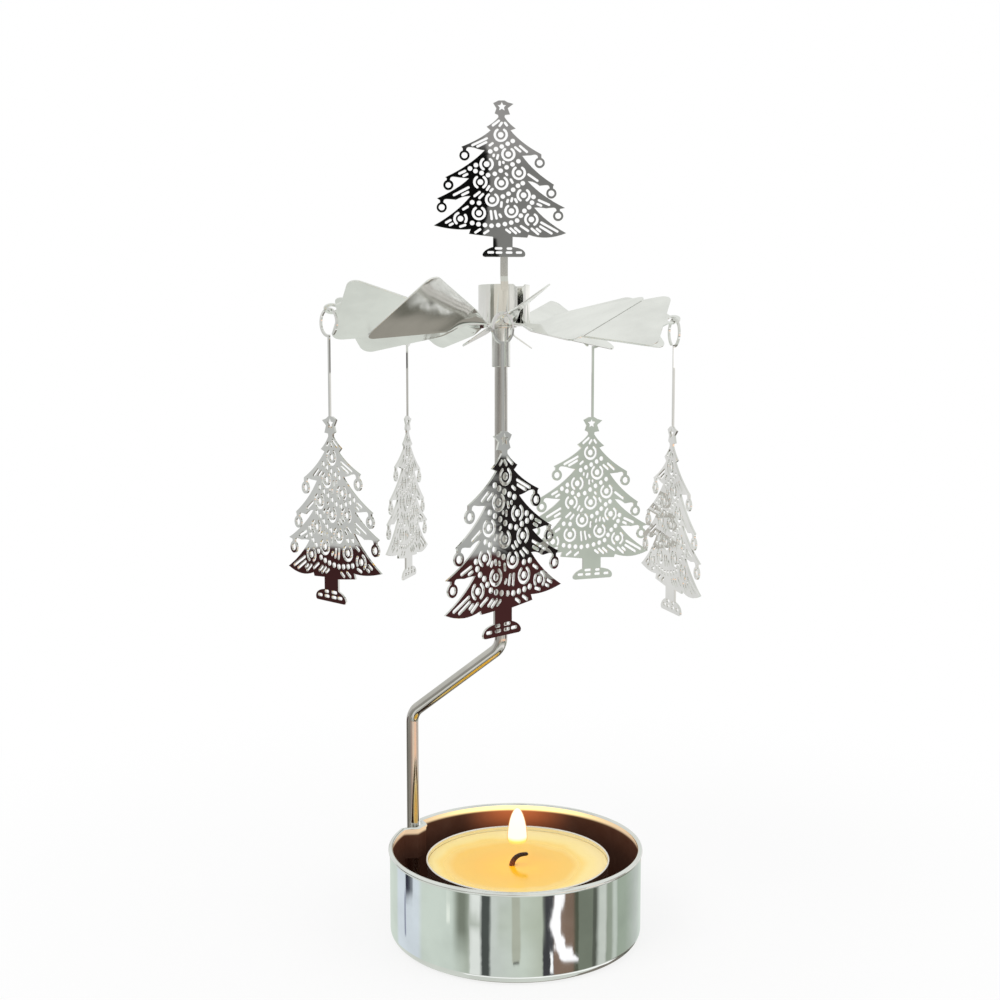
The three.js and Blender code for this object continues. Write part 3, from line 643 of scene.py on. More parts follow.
def bent(bm, edges, centre, axis, angle):
    """Carries a ring of edges round a bend."""
    verts = list({v for edge in edges for v in edge.verts})
    made = bmesh.ops.spin(bm, geom=verts + edges, cent=centre, axis=axis, angle=angle, steps=12)
    return ring_of(made["geom_last"])[1]


def pole():
    """The pole: round rod with two bends in one plane and a ground point."""
    up = Vector((0, 0, 1))
    side = polar(1, POLE_AZIMUTH + 180)
    foot = polar(POLE_OFFSET, POLE_AZIMUTH, POCKET_FLOOR_Z + POLE_GAP)
    run = (AXIS - polar(POLE_OFFSET, POLE_AZIMUTH)).length
    rise = UPPER_BEND_Z - LOWER_BEND_Z
    turn = atan2(run, rise)
    set_back = BEND_RADIUS * tan(turn / 2)
    slope = up * cos(turn) + side * sin(turn)
    across = up * sin(turn) - side * cos(turn)
    chamfer = 0.4
    tip = HUB_Z + THIMBLE_HEAD - THIMBLE_CAP - 0.1

    bm, edges = rod(POLE_RADIUS - chamfer, 48, foot)
    edges = grown(bm, edges, up * chamfer, POLE_RADIUS / (POLE_RADIUS - chamfer))
    edges = grown(bm, edges, up * (LOWER_BEND_Z - set_back - foot.z - chamfer))
    low = polar(POLE_OFFSET, POLE_AZIMUTH, LOWER_BEND_Z - set_back)
    edges = bent(bm, edges, low + side * BEND_RADIUS, up.cross(side), turn)
    edges = grown(bm, edges, slope * (hypot(run, rise) - 2 * set_back))
    high = AXIS + up * UPPER_BEND_Z - slope * set_back
    edges = bent(bm, edges, high + across * BEND_RADIUS, side.cross(up), turn)
    edges = grown(bm, edges, up * (tip - POLE_POINT - UPPER_BEND_Z - set_back))
    edges = grown(bm, edges, up * POLE_POINT * 0.96, 0.14)
    edges = grown(bm, edges, up * POLE_POINT * 0.04, 0.4)
    bmesh.ops.contextual_create(bm, geom=edges)
    piece("pole_rod", outward(bm), [POLE_CHROME], "pole", "pole", "pole")


# Rotor


def on_blade(index, radius, across, height=0):
    """A point of the flat sheet, carried to its place on a bent blade that points along +X."""
    twist, rise = BLADE_BENDS[index]
    turn = radians(twist) * smooth((radius - HUB_RADIUS) / TWIST_LENGTH)
    lift = max(0, radius - HUB_RADIUS) * tan(radians(rise))
    aside = across * cos(turn) - height * sin(turn)
    return Vector((radius, aside, across * sin(turn) + height * cos(turn) + lift))


def blade_half(radius):
    """Half the width of a blade at a radius, between its slits and inside its round corners."""
    full = radius * tan(pi / BLADE_COUNT) - BLADE_SLIT / 2
    into = max(0, radius - (BLADE_REACH - BLADE_CORNER))
    return full - (BLADE_CORNER - sqrt(max(0, BLADE_CORNER**2 - into**2)))


def blade_sector(bm, index):
    """One tenth of the rotor: its share of the hub and its blade."""
    sector = 180 / BLADE_COUNT
    bore = THIMBLE_RADIUS + 0.1
    hub = [bore + (HUB_RADIUS - bore) * share for share in steps(3)]
    neck = [HUB_RADIUS + 0.35 + (TWIST_LENGTH - 0.35) * share for share in steps(12)]
    flat_end = BLADE_REACH - BLADE_CORNER
    flat = [neck[-1] + (flat_end - neck[-1]) * share for share in steps(10)][1:]
    corner = [flat_end + BLADE_CORNER * sin(pi / 2 * share) for share in steps(8)][1:]
    radii = hub + neck + flat + corner
    made = bmesh.ops.create_grid(bm, x_segments=len(radii) - 1, y_segments=12, size=1)
    for vert in made["verts"]:
        radius = radii[round((vert.co.x + 1) / 2 * (len(radii) - 1))]
        share = vert.co.y
        if radius <= HUB_RADIUS:
            vert.co = polar(radius, share * sector)
        else:
            vert.co = on_blade(index, radius, share * blade_half(radius))
    spin = Matrix.Rotation(radians(FIRST_BLADE + 2 * sector * index), 3, "Z")
    bmesh.ops.rotate(bm, cent=(0, 0, 0), matrix=spin, verts=made["verts"])


def rotor():
    """The rotor: one sheet, slit into blades that are each twisted the same way."""
    bm = bmesh.new()
    for index in range(BLADE_COUNT):
        blade_sector(bm, index)
    shifted(outward(bm, 1e-3), HUB)
    made = piece("rotor_sheet", bm, [ROTOR_MIRROR], "rotor", "rotor", "rotor")
    sheet = made.modifiers.new("sheet", "SOLIDIFY")
    sheet.thickness = ROTOR_SHEET * MM
    sheet.offset = 0
    edge = made.modifiers.new("edge", "BEVEL")
    edge.width = ROTOR_EDGE * MM
    edge.segments = 2
    edge.limit_method = "ANGLE"
    edge.angle_limit = radians(50)
    # The weighted normals come last
    made.modifiers.move(0, len(made.modifiers) - 1)


def flat_plate(outlines, thickness, edge=0.03):
    """A sheet cut to closed outlines in X and Y, the first its outside and the others its holes."""
    curve = bpy.data.curves.new("plate", "CURVE")
    curve.dimensions = "2D"
    curve.fill_mode = "BOTH"
    curve.extrude = thickness / 2 - edge
    curve.bevel_depth = edge
    curve.bevel_resolution = 0
    curve.offset = -edge
    for outline in outlines:
        spline = curve.splines.new("POLY")
        spline.points.add(len(outline) - 1)
        for point, (x, y) in zip(spline.points, outline):
            point.co = (x, y, 0, 1)
        spline.use_cyclic_u = True
    holder = new_object("plate", curve)
    bpy.context.view_layer.update()
    mesh = bpy.data.meshes.new_from_object(holder.evaluated_get(bpy.context.evaluated_depsgraph_get()))
    bpy.data.objects.remove(holder)
    bm = bmesh.new()
    bm.from_mesh(mesh)
    return outward(bm, 1e-4)


def circle(centre, radius, count):
    return arc(centre, radius, 0, 360, count)[:-1]


def ears():
    """The five ears, at the ends of every other blade, each with its hole for a charm's ring."""
    reach = BLADE_REACH + EAR_OUT
    root = 1.5 * EAR_RADIUS
    inner = BLADE_REACH - 0.01
    outline = [(inner, -root), *arc((reach, 0), EAR_RADIUS, -112, 112, 30), (inner, root)]
    bm = bmesh.new()
    for index in range(0, BLADE_COUNT, 2):
        ear = flat_plate([outline, circle((reach, 0), EAR_HOLE, 24)], ROTOR_SHEET)
        for vert in ear.verts:
            vert.co = on_blade(index, *vert.co)
        added(bm, turned(ear, radians(FIRST_BLADE + 360 / BLADE_COUNT * index)))
    shifted(bm, HUB)
    piece("rotor_ears", bm, [ROTOR_MIRROR], "rotor", "rotor")


def thimble():
    """The bearing thimble: a capped tube pressed up into the hub, with a flange under it."""
    bottom = -THIMBLE_LENGTH
    flange = -ROTOR_SHEET / 2 - 0.1
    round_edge = 0.18
    ceiling = THIMBLE_HEAD - THIMBLE_CAP
    profile = [(0, ceiling), (THIMBLE_BORE * 0.4, ceiling - 0.2), (THIMBLE_BORE, -POLE_POINT / 2)]
    profile += [(THIMBLE_BORE, bottom + 0.1), (THIMBLE_BORE + 0.08, bottom)]
    profile += arc((THIMBLE_RADIUS - round_edge, bottom + round_edge), round_edge, -90, 0, 5)
    profile += [(THIMBLE_RADIUS, flange - FLANGE_SHEET - 0.1)]
    profile += arc((THIMBLE_RADIUS + FLANGE_WIDTH - 0.1, flange - FLANGE_SHEET + 0.1), 0.1, -90, 0, 3)
    profile += [(THIMBLE_RADIUS + FLANGE_WIDTH, flange), (THIMBLE_RADIUS, flange)]
    profile += arc((THIMBLE_RADIUS - 0.4, THIMBLE_HEAD - 0.4), 0.4, 0, 90, 6)
    profile += [(0, THIMBLE_HEAD)]
    bm = shifted(lathe(profile, 96), HUB)
    piece("thimble", bm, [THIMBLE_CHROME], "rotor", "bearing_thimble", "bearing_thimble")


# Tree figure, drawn at the charms' size from the middle of its foot

TREE_HEIGHT = 37
STAR_CENTRE = (-0.24, 35.55)
# The star from its flat top clockwise down to the neck, and from the neck up again
STAR_RIGHT = ((0.4, 37), (1.16, 36.56), (2.5, 36.2), (1.16, 35.2), (1.7, 33.75), (0.5, 33.6))
STAR_LEFT = ((-1.13, 33.6), (-1.94, 34), (-1.53, 35.15), (-2.3, 36.37), (-1, 37))
STAR_HOLE = (1.08, 0.53)
NECKS = ((0.42, 33.1), (-1.05, 33.1))
# Tiers from the top: the tip, the middle of the ball ring if there is one, and the notch
RIGHT_TIERS = (
    ((3.05, 30.45), None, (1.8, 30)),
    ((9.15, 24.4), (8.75, 22.35), (4.6, 24)),
    ((12.2, 17.2), (11.55, 15.15), (5.95, 18)),
    ((14.85, 11.7), (13.2, 9.8), (7.5, 11.75)),
)
LEFT_TIERS = (
    ((-3.85, 30.85), None, (-2.9, 30)),
    ((-9.85, 26.15), (-9.1, 24.1), (-4.35, 25.3)),
    ((-13.7, 18.95), (-12.95, 17.1), (-8.1, 18.65)),
    ((-15.7, 13.95), (-14.55, 11.8), (-7.75, 14.45)),
)
# The lowest tier: its tip, its belly, the step beside the trunk and the step's low corner
SKIRT_RIGHT = ((15.15, 5.7), (10.4, 3.75), (6.15, 5.3), (5.85, 4.6))
SKIRT_LEFT = ((-16.5, 7.5), (-11.5, 6.2), (-7.7, 6.6), (-8.1, 5.5))
TRUNK = {"left": -2.35, "right": 2.35, "top": 4.8, "bottom": 2.4}
FOOT = {"left": -4.9, "right": 5.4, "toe": 0.6}
BALL_OUTER = 1.24
BALL_HOLE = 0.72
BALL_NECK = 0.42
# How far inwards and up from a ball ring's middle its branch is thinnest
BRANCH_THIN = (1.05, 1.95)
# How far along and down an upper edge of a branch is pulled in
BRANCH_PULL = (0.36, 0.56)

BAUBLE_RADIUS = 1.72
BAUBLE_BAND = 0.6
BAUBLE_EYE = 0.68
# Baubles whose ring is open at the top, and those whose ring is two bows
CUPPED_BAUBLES = (
    (-0.5, 28.95), (1.3, 24.4), (3.8, 20), (-0.35, 17.6), (-2.55, 13.65), (-5.7, 10.45), (2.05, 10.95),
)
BOWED_BAUBLES = ((-3.85, 22.05), (-5.35, 17.8), (4.95, 14.7), (6.8, 8.95))
# The bauble at the left end of the skirt, whose bows are shorter
SKIRT_BAUBLE = (-10.1, 9.1)
BEAD_RADIUS = 0.56
# Garlands of beads, from right to left
BEADS = (
    (2.35, 27.5), (1.15, 26.85), (-0.25, 26.2), (-1.62, 25.6), (-2.98, 25.05),
    (3.7, 22.75), (2.3, 22), (0.9, 21.3), (-0.5, 20.5), (-1.9, 19.75), (-3.5, 19.45), (-5.05, 19.95),
    (-6.5, 20.4), (-7.8, 21), (-6.4, 21.8),
    (4.75, 17.55), (3.6, 16.95), (2.45, 16), (1.35, 15.05), (0, 14.4), (-7.3, 13), (-5.65, 12.85),
    (7.3, 14.3), (6.95, 12.95), (6.25, 11.85), (5.15, 11), (4.3, 9.85), (3.4, 8.7), (2, 8.2),
    (0.5, 7.85), (-1.1, 7.6), (-2.7, 7.45), (-4.25, 7.6), (-5.8, 7.8), (-7.3, 8.1),
)
SLOT_WIDTH = 0.6
# Slots that follow the branches
SLOTS = (
    ((-2.35, 31.15), (-0.95, 32.25)), ((-0.75, 31.05), (-0.25, 31.75)), ((0.5, 31.75), (0.95, 31.15)),
    ((-7.2, 26.5), (-3.8, 28.1)), ((-6, 26.2), (-3.95, 27.2)), ((-3.1, 26.45), (-2.45, 26.95)),
    ((2.95, 26), (4.1, 25.05)), ((4.1, 26.3), (5.7, 24.95)), ((-2.2, 23.95), (-2.15, 24.25)),
    ((-1.35, 23.35), (-1.15, 24.15)), ((-0.75, 22.6), (-0.75, 21.9)), ((0.1, 22.55), (0.15, 22.35)),
    ((-10.3, 19.8), (-9, 20.4)), ((-9.3, 19.25), (-8.5, 19.65)), ((0.75, 19.8), (1, 19.5)),
    ((6.1, 19.6), (8.2, 18.15)), ((1.9, 18.4), (2.3, 17.7)), ((-3.75, 16), (-3.25, 16.8)),
    ((-2.9, 15.7), (-2.45, 16.15)), ((-11.6, 14.75), (-8.2, 16.5)), ((-9.6, 14.75), (-8.3, 15.4)),
    ((-6.7, 14.5), (-5.55, 15.4)), ((-5.55, 14.05), (-4.75, 14.9)), ((8.6, 13.5), (11, 12.45)),
    ((8.3, 12.6), (9.1, 12.25)), ((1.05, 13.1), (1.2, 13.55)), ((2.05, 13.3), (2.2, 13.95)),
    ((2.95, 13.75), (3.3, 13.1)), ((-0.3, 13), (-0.4, 12)), ((-2.85, 10.9), (-2.65, 9.05)),
    ((-1.85, 10.9), (-1.5, 9.2)), ((-0.75, 10.1), (-0.45, 9.6)), ((-9.4, 11.35), (-8.4, 11.95)),
    ((-13.5, 8.2), (-12.5, 8.75)), ((-12.6, 7.6), (-12, 7.9)), ((-10.1, 7.25), (-9, 7.6)),
    ((9.2, 8.2), (13, 6.1)), ((8.95, 7.25), (11.6, 5.65)), ((6.9, 6.75), (8.4, 5.5)),
    ((8.15, 6.7), (8.9, 6.1)), ((4.35, 7.35), (6, 6.25)), ((0.85, 6.5), (1.7, 5.85)),
    ((1.85, 6.8), (3.1, 5.7)), ((2.95, 6.9), (4, 6)), ((-6.5, 5.85), (-5.45, 6.55)),
    ((-4.4, 5.65), (-3.5, 6.25)),
    ((-1.6, 2.05), (-0.4, 2.05)), ((1.2, 2), (1.95, 2)), ((-3.4, 1.1), (-2.4, 1.1)),
    ((-1.4, 1.05), (-0.4, 1.05)), ((1, 1.05), (2, 1.05)), ((3.4, 1.05), (4.3, 1.05)),
)


def bow(start, pull, end, count=8):
    """Points of a quadratic curve after its start."""
    made = []
    for share in steps(count)[1:]:
        a, b, c = (1 - share) ** 2, 2 * share * (1 - share), share**2
        made.append((a * start[0] + b * pull[0] + c * end[0], a * start[1] + b * pull[1] + c * end[1]))
    return made


def branch(start, tip):
    """The hollow upper edge of a branch."""
    pull = [from_ + share * (to - from_) for from_, to, share in zip(start, tip, BRANCH_PULL)]
    return bow(start, pull, tip)


def under_branch(ball, notch, side):
    """The lower edge of a branch from its tip inwards, round its ball ring."""
    x, y = ball
    lean = degrees(asin(BALL_NECK / BALL_OUTER))
    ring = arc(ball, BALL_OUTER, 90 - side * lean, 90 - side * (360 - lean), 22)
    thin = (x - side * BRANCH_THIN[0], y + BRANCH_THIN[1])
    bump = (x + 0.5 * (notch[0] - x), y + 1.78)
    edge = bow(ring[-1], (x - side * BALL_NECK, y + 1.9), thin, 5)
    edge += bow(thin, (0.6 * thin[0] + 0.4 * bump[0], y + BRANCH_THIN[1]), bump, 4)
    edge += bow(bump, (bump[0] + 0.25 * (notch[0] - x), notch[1] + 0.1), notch, 5)
    return [(x + side * BALL_NECK, y + 1.65), *ring, *edge]


def tree_side(tiers, skirt, side):
    """One side of the tree from its neck down to its trunk."""
    points = [NECKS[side < 0]]
    for tip, ball, notch in tiers:
        points += branch(points[-1], tip)
        points += under_branch(ball, notch, side) if ball else [notch]
    tip, belly, step, low = skirt
    points += branch(points[-1], tip)
    points += bow(tip, belly, step)
    return [*points, low]


def star(outer, inner, centre):
    """The ten points of a star, from its top point round to the left."""
    return [arc(centre, radius, 90 + 36 * i, 0, 1)[0] for i, radius in enumerate([outer, inner] * 5)]


def tree_outline():
    """The outside of the tree, once round from the top of its star."""
    right = tree_side(RIGHT_TIERS, SKIRT_RIGHT, 1)
    left = tree_side(LEFT_TIERS, SKIRT_LEFT, -1)
    bottom = TRUNK["bottom"]
    heel = (FOOT["right"], FOOT["toe"])
    toe = (FOOT["left"], FOOT["toe"])
    foot = [(TRUNK["right"], TRUNK["top"]), (TRUNK["right"], bottom)]
    foot += bow(foot[-1], (FOOT["right"], bottom - 0.4), heel)
    foot += [(heel[0] - 0.15, 0.15), (heel[0] - 0.6, 0), (toe[0] + 0.6, 0), (toe[0] + 0.15, 0.15), toe]
    foot += bow(toe, (FOOT["left"] + 0.4, bottom - 0.6), (TRUNK["left"], bottom))
    foot += [(TRUNK["left"], TRUNK["top"])]
    return [*STAR_RIGHT, *right, *foot, *reversed(left), *STAR_LEFT]


def round_end(centre, outer, band, angle, turn=0):
    """The half circle that closes a bent band of this outer radius at an angle."""
    middle = arc(centre, outer - band / 2, angle, angle, 1)[0]
    return arc(middle, band / 2, angle + turn, angle + turn + 180, 5)[1:-1]


def rounded_bow(centre, start, end):
    """A slot bent round a bauble's centre, with round ends."""
    count = 14 if end - start > 200 else 8
    points = arc(centre, BAUBLE_RADIUS, start, end, count)
    points += round_end(centre, BAUBLE_RADIUS, BAUBLE_BAND, end)
    points += arc(centre, BAUBLE_RADIUS - BAUBLE_BAND, end, start, count)
    return points + round_end(centre, BAUBLE_RADIUS, BAUBLE_BAND, start, 180)


def slot(start, end):
    """A slot with round ends."""
    lean = degrees(atan2(end[1] - start[1], end[0] - start[0]))
    half = SLOT_WIDTH / 2
    return arc(start, half, lean + 90, lean + 270, 5) + arc(end, half, lean - 90, lean + 90, 5)


def tree_holes():
    """Everything that is cut out of the tree."""
    holes = [star(*STAR_HOLE, STAR_CENTRE)]
    holes += [circle(ball, BALL_HOLE, 18) for tip, ball, notch in (*RIGHT_TIERS, *LEFT_TIERS) if ball]
    holes += [rounded_bow(centre, 90 + 34, 450 - 34) for centre in CUPPED_BAUBLES]
    for centre in BOWED_BAUBLES:
        holes += [rounded_bow(centre, 90 + 36, 270 - 32), rounded_bow(centre, -90 + 32, 90 - 36)]
    holes += [rounded_bow(SKIRT_BAUBLE, 112, 228), rounded_bow(SKIRT_BAUBLE, -32, 38)]
    baubles = (*CUPPED_BAUBLES, *BOWED_BAUBLES, SKIRT_BAUBLE)
    holes += [circle(centre, BAUBLE_EYE, 14) for centre in baubles]
    holes += [circle(bead, BEAD_RADIUS, 10) for bead in BEADS]
    return holes + [slot(*each) for each in SLOTS]


def tree_plate(height, wider):
    """The tree as an upright sheet: its foot is at the origin and it faces -Y."""
    scale = height / TREE_HEIGHT
    drawn = (tree_outline(), *tree_holes())
    outlines = [[(scale * wider * x, scale * y) for x, y in outline] for outline in drawn]
    return turned(flat_plate(outlines, CHARM_SHEET), pi / 2, "X")


def hanger_plate():
    """A charm's ring and strip, from the ring's centre down to the tree's star."""
    inside = RING_OUTER - RING_BAND
    half = STRIP_WIDTH / 2
    foot = -RING_OUTER - STRIP_LENGTH
    lean = degrees(asin(half / RING_OUTER))
    lean_inside = degrees(asin(half / inside))
    gap_end = 270 - RING_GAP
    outline = [(-half, foot - 0.05), (half, foot - 0.05)]
    outline += arc((0, 0), RING_OUTER, -90 + lean, gap_end, 60)
    outline += round_end((0, 0), RING_OUTER, RING_BAND, gap_end)
    outline += arc((0, 0), inside, gap_end, -90 - lean_inside, 56)
    outline += [(-half, -RING_OUTER + 0.1)]
    return turned(flat_plate([outline], CHARM_SHEET), pi / 2, "X")


def charm(number):
    """One hanging charm: ring, strip and tree stamped from one sheet."""
    joint = JOINTS[f"charm_{number}_swing"]
    centre = Vector(joint["pos_m"]) / MM - Vector((0, 0, RING_OUTER - RING_BAND / 2))
    facing = atan2(joint["axis"][1], joint["axis"][0])
    drop = (0, 0, -RING_OUTER - STRIP_LENGTH - CHARM_TREE_HEIGHT)
    tree = shifted(tree_plate(CHARM_TREE_HEIGHT, CHARM_TREE_WIDER), drop)
    bm = shifted(turned(added(hanger_plate(), tree), facing), centre)
    nodes = (f"charm_{number}_hanger", f"charm_{number}_tree")
    piece(f"charm_{number}", bm, [CHARM_MIRROR], f"charm_{number}", "charm", *nodes)


def top_tree():
    """The tree on top, the same figure made smaller."""
    place = AXIS + Vector((TOP_TREE_ASIDE, 0, STEM_TOP_Z))
    bm = shifted(tree_plate(TOP_TREE_HEIGHT, TOP_TREE_WIDER), place)
    piece("top_tree_plate", bm, [TOP_MIRROR], "rotor", "top_ornament", "top_tree")


def collar():
    """The collar: a band rolled to a split ring, its tabs through the hub and the tree's stem."""
    bottom = ROTOR_SHEET / 2 + 0.1
    top = bottom + COLLAR_HEIGHT
    inner = COLLAR_RADIUS - CHARM_SHEET
    bm = bmesh.new()
    corners = ((inner, bottom), (COLLAR_RADIUS, bottom), (COLLAR_RADIUS, top), (inner, top))
    start = COLLAR_GAP_AT + COLLAR_GAP_ANGLE / 2
    verts = [bm.verts.new(polar(radius, start, z)) for radius, z in corners]
    face = bm.faces.new(verts)
    sweep = radians(360 - COLLAR_GAP_ANGLE)
    geometry = [*verts, *face.edges, face]
    bmesh.ops.spin(bm, geom=geometry, cent=(0, 0, 0), axis=(0, 0, 1), angle=sweep, steps=110)
    for vert in bm.verts:
        angle = degrees(atan2(vert.co.y, vert.co.x))
        past = (angle - start) % 360
        near = min(past, (360 - COLLAR_GAP_ANGLE) - past) / COLLAR_CLIP_ANGLE
        clipped = COLLAR_CLIP * max(0, 1 - near)
        vert.co.z += -clipped if vert.co.z > (bottom + top) / 2 else clipped
    outward(bm)
    rims = [edge for edge in bm.edges if edge.is_manifold and edge.calc_face_angle() > 1]
    settings = {"segments": 2, "profile": 0.5, "affect": "EDGES", "material": -1, "clamp_overlap": True}
    bmesh.ops.bevel(bm, geom=rims, offset=COLLAR_EDGE, **settings)
    for angle in COLLAR_TABS:
        tab = bmesh.new()
        bmesh.ops.create_cube(tab, size=1)
        size = (CHARM_SHEET, COLLAR_TAB_WIDTH, COLLAR_TAB_HEIGHT)
        bmesh.ops.scale(tab, vec=size, verts=tab.verts)
        shifted(tab, (COLLAR_RADIUS - CHARM_SHEET / 2, 0, bottom - 0.2))
        added(bm, turned(tab, radians(angle)))
    added(bm, stem(top))
    shifted(bm, AXIS + Vector((COLLAR_ASIDE, 0, HUB_Z)))
    piece("collar", bm, [COLLAR_MIRROR], "rotor", "top_ornament", "top_collar")


def stem(top):
    """The strip from the collar's front wall back to the axis and up to the tree's foot."""
    front = -COLLAR_RADIUS + CHARM_SHEET / 2
    half = CHARM_SHEET / 2
    end = STEM_TOP_Z - HUB_Z + 0.05
    # Each station's depth and height, and how far its edge across the sheet leans
    stations = (
        (front, top - 1.2, 0),
        (front, top + 0.3, 0.9),
        (0, top + STEM_SETBACK_RISE, 0.9),
        (0, end, 0),
    )
    bm = bmesh.new()
    rings = []
    for y, z, lift in stations:
        near = (y - half, z + lift * half)
        away = (y + half, z - lift * half)
        corners = ((-0.5, *near), (0.5, *near), (0.5, *away), (-0.5, *away))
        rings.append([bm.verts.new((x * STEM_WIDTH, depth, height)) for x, depth, height in corners])
    for low, high in zip(rings, rings[1:]):
        for i in range(4):
            bm.faces.new((low[i - 1], low[i], high[i], high[i - 1]))
    bm.faces.new(rings[0])
    bm.faces.new(rings[-1])
    return outward(bm)


# Tealight

TEALIGHT_PLACE = Vector((TEALIGHT_X, 0, CUP_WALL))
WAX_EDGE = TEALIGHT_HEIGHT - WAX_BELOW_RIM
WAX_TOP = CUP_WALL + WAX_EDGE - WAX_DISH
WICK_ROOT = Vector((-0.7, 0, WAX_TOP))


def tealight_cup():
    """The tealight's cup: thin foil drawn to a slightly wider mouth, its edge rolled out."""
    low = TEALIGHT_RADIUS - TEALIGHT_TAPER
    foot = (low - 1, 1)
    roll = 0.22
    lip = (TEALIGHT_RADIUS - roll, TEALIGHT_HEIGHT - roll)
    profile = [(0, 0), (10, 0), *arc(foot, 1, -90, 0, 6)]
    profile += [(TEALIGHT_RADIUS - roll, TEALIGHT_HEIGHT - 2.2 * roll)]
    profile += arc(lip, roll, -60, 200, 10)
    profile += [(TEALIGHT_RADIUS - TEALIGHT_WALL - 0.05, TEALIGHT_HEIGHT - 1.2)]
    profile += [*arc(foot, 1 - TEALIGHT_WALL, 0, -90, 6), (10, TEALIGHT_WALL), (0, TEALIGHT_WALL)]
    bm = shifted(lathe(profile, 200), TEALIGHT_PLACE)
    piece("tealight_foil", bm, [TEALIGHT_FOIL], "tealight", "tealight_cup", "tealight_cup")


def wax():
    """The wax: set round the edge and melted to a shallow pool, its edge climbing a little up the foil."""
    floor = TEALIGHT_WALL + 0.1
    low = TEALIGHT_RADIUS - TEALIGHT_TAPER - TEALIGHT_WALL - 0.1
    high = TEALIGHT_RADIUS - TEALIGHT_WALL - 0.15
    pool = WAX_EDGE - WAX_DISH
    profile = [(0, pool), (5, pool), (0.62 * high, pool), (0.72 * high, pool + 0.06)]
    profile += [(0.82 * high, pool + 0.2), (0.92 * high, WAX_EDGE - 0.12)]
    profile += [(0.975 * high, WAX_EDGE), (high, WAX_EDGE + 0.3)]
    profile += [(low, 1), (low - 1, floor), (0, floor)]
    bm = shifted(lathe(profile, 160), TEALIGHT_PLACE)
    piece("candle_wax", bm, [CANDLE_WAX], "tealight", "wax", "wax")


def wick():
    """The wick: a waxed cord that leans out of the pool, bends over and thins where it is burnt."""
    foot = Vector((TEALIGHT_X, 0, CUP_WALL + TEALIGHT_WALL + 0.1))
    bm, edges = rod(WICK_RADIUS, 20, foot)
    edges = grown(bm, edges, WICK_ROOT - foot)
    place = WICK_ROOT.copy()
    heading = 0
    for share in steps(WICK_STEPS)[1:]:
        lean = WICK_LEAN * smooth(0.15 + 0.85 * share)
        step = WICK_LENGTH / WICK_STEPS
        move = Vector((sin(radians(lean)), 0, cos(radians(lean)))) * step
        edges = grown(bm, edges, move, WICK_THINNING if share < 1 else 0.5)
        verts = list({v for edge in edges for v in edge.verts})
        place += move
        turn = Matrix.Rotation(radians(lean - heading), 3, "Y")
        bmesh.ops.rotate(bm, cent=place, matrix=turn, verts=verts)
        heading = lean
    bmesh.ops.contextual_create(bm, geom=edges)
    piece("candle_wick", outward(bm), [BURNT_WICK], "tealight", "wick", "wick")


def flame():
    """The flame: a round-tipped drop with a white heart inside a thin orange mantle."""
    bm = bmesh.new()
    for swell in (0, MANTLE_GAP):
        radius = FLAME_RADIUS - MANTLE_GAP + swell
        top = 1 + swell / FLAME_HEIGHT
        profile = [(0, FLAME_BASE_Z - swell), (0.55 * radius, FLAME_BASE_Z - swell)]
        profile += [(0.9 * radius, FLAME_BASE_Z + 0.05 * FLAME_HEIGHT)]
        for share in steps(26):
            height = (FLAME_BELLY + (top - FLAME_BELLY) * share) * FLAME_HEIGHT + FLAME_BASE_Z
            profile.append((radius * (1 - share * share) ** 0.58, height))
        before = len(bm.faces)
        added(bm, lathe(profile, 48))
        bm.faces.ensure_lookup_table()
        for face in bm.faces[before:]:
            face.material_index = int(swell > 0)
    shifted(bm, (FLAME_ASIDE, 0, 0))
    piece("candle_flame", bm, [FLAME_HEART, FLAME_MANTLE], "tealight", "wick")


# Studio


def studio_world():
    """White to the camera, plain light for the surfaces, and in the chrome a studio with its flags."""
    world = bpy.data.worlds.new("studio")
    bpy.context.scene.world = world
    look = Look(world)
    direction = look.node("ShaderNodeTexCoord").out("Generated")
    x, y, z = look.split(direction)
    ragged = look.noise(look.moved(direction, (0, 0, 0), (1, 1, 9)), 16.0, 5.0, 0.65) - 0.5
    across = y.angle_of(x) * (180 / pi)
    height = z.angle_of((x * x + y * y).root()) * (180 / pi)
    room = look.mix(look.rise(height, -20, 40), ROOM_LOW, ROOM_HIGH)
    for low, high, wander, bands in RINGS:
        around = (across + ragged * wander) / 360 + 0.5
        angles = [(angle, shade) for left, right, shade in bands for angle in sorted({left, right})]
        strip = look.ramp(around, [((angle + 180) / 360, shade) for angle, shade in angles])
        middle = (low + high) / 2
        room = look.mix(look.within(height, middle, middle - low, RING_SOFTNESS), room, strip)
    for left, right, low, high, soft, soft_up, shade, *sides in FLAGS:
        wander, lean = (*sides, 0, 0)[:2]
        column, row = (left + right) / 2, (low + high) / 2
        sideways = across + ragged * wander if wander else across
        if lean:
            sideways = sideways + (height - row) * lean
        beside = look.within(sideways, column, column - left, soft)
        share = beside * look.within(height, row, row - low, soft_up)
        room = look.mix(share, room, shade)
    path = look.node("ShaderNodeLightPath")
    seen = path.out("Is Camera Ray").greatest(path.out("Is Transmission Ray"))
    plain = look.mix(path.out("Is Glossy Ray"), PLAIN_LIGHT, room)
    shade = look.mix(seen, plain, (1, 1, 1))
    background = look.node("ShaderNodeBackground", None, [shade, 1.0])
    look.node("ShaderNodeOutputWorld", None, {"Surface": background.out(0)})


PLAIN_LIGHT = (0.80, 0.80, 0.80)
ROOM_LOW = (0.71, 0.735, 0.69)
ROOM_HIGH = (0.84, 0.85, 0.82)
WARM_WHITE = (0.78, 0.74, 0.66)
PALE_GREEN = (0.67, 0.74, 0.68)
NEAR_BLACK = (0.085, 0.095, 0.09)

RING_SOFTNESS = 0.04
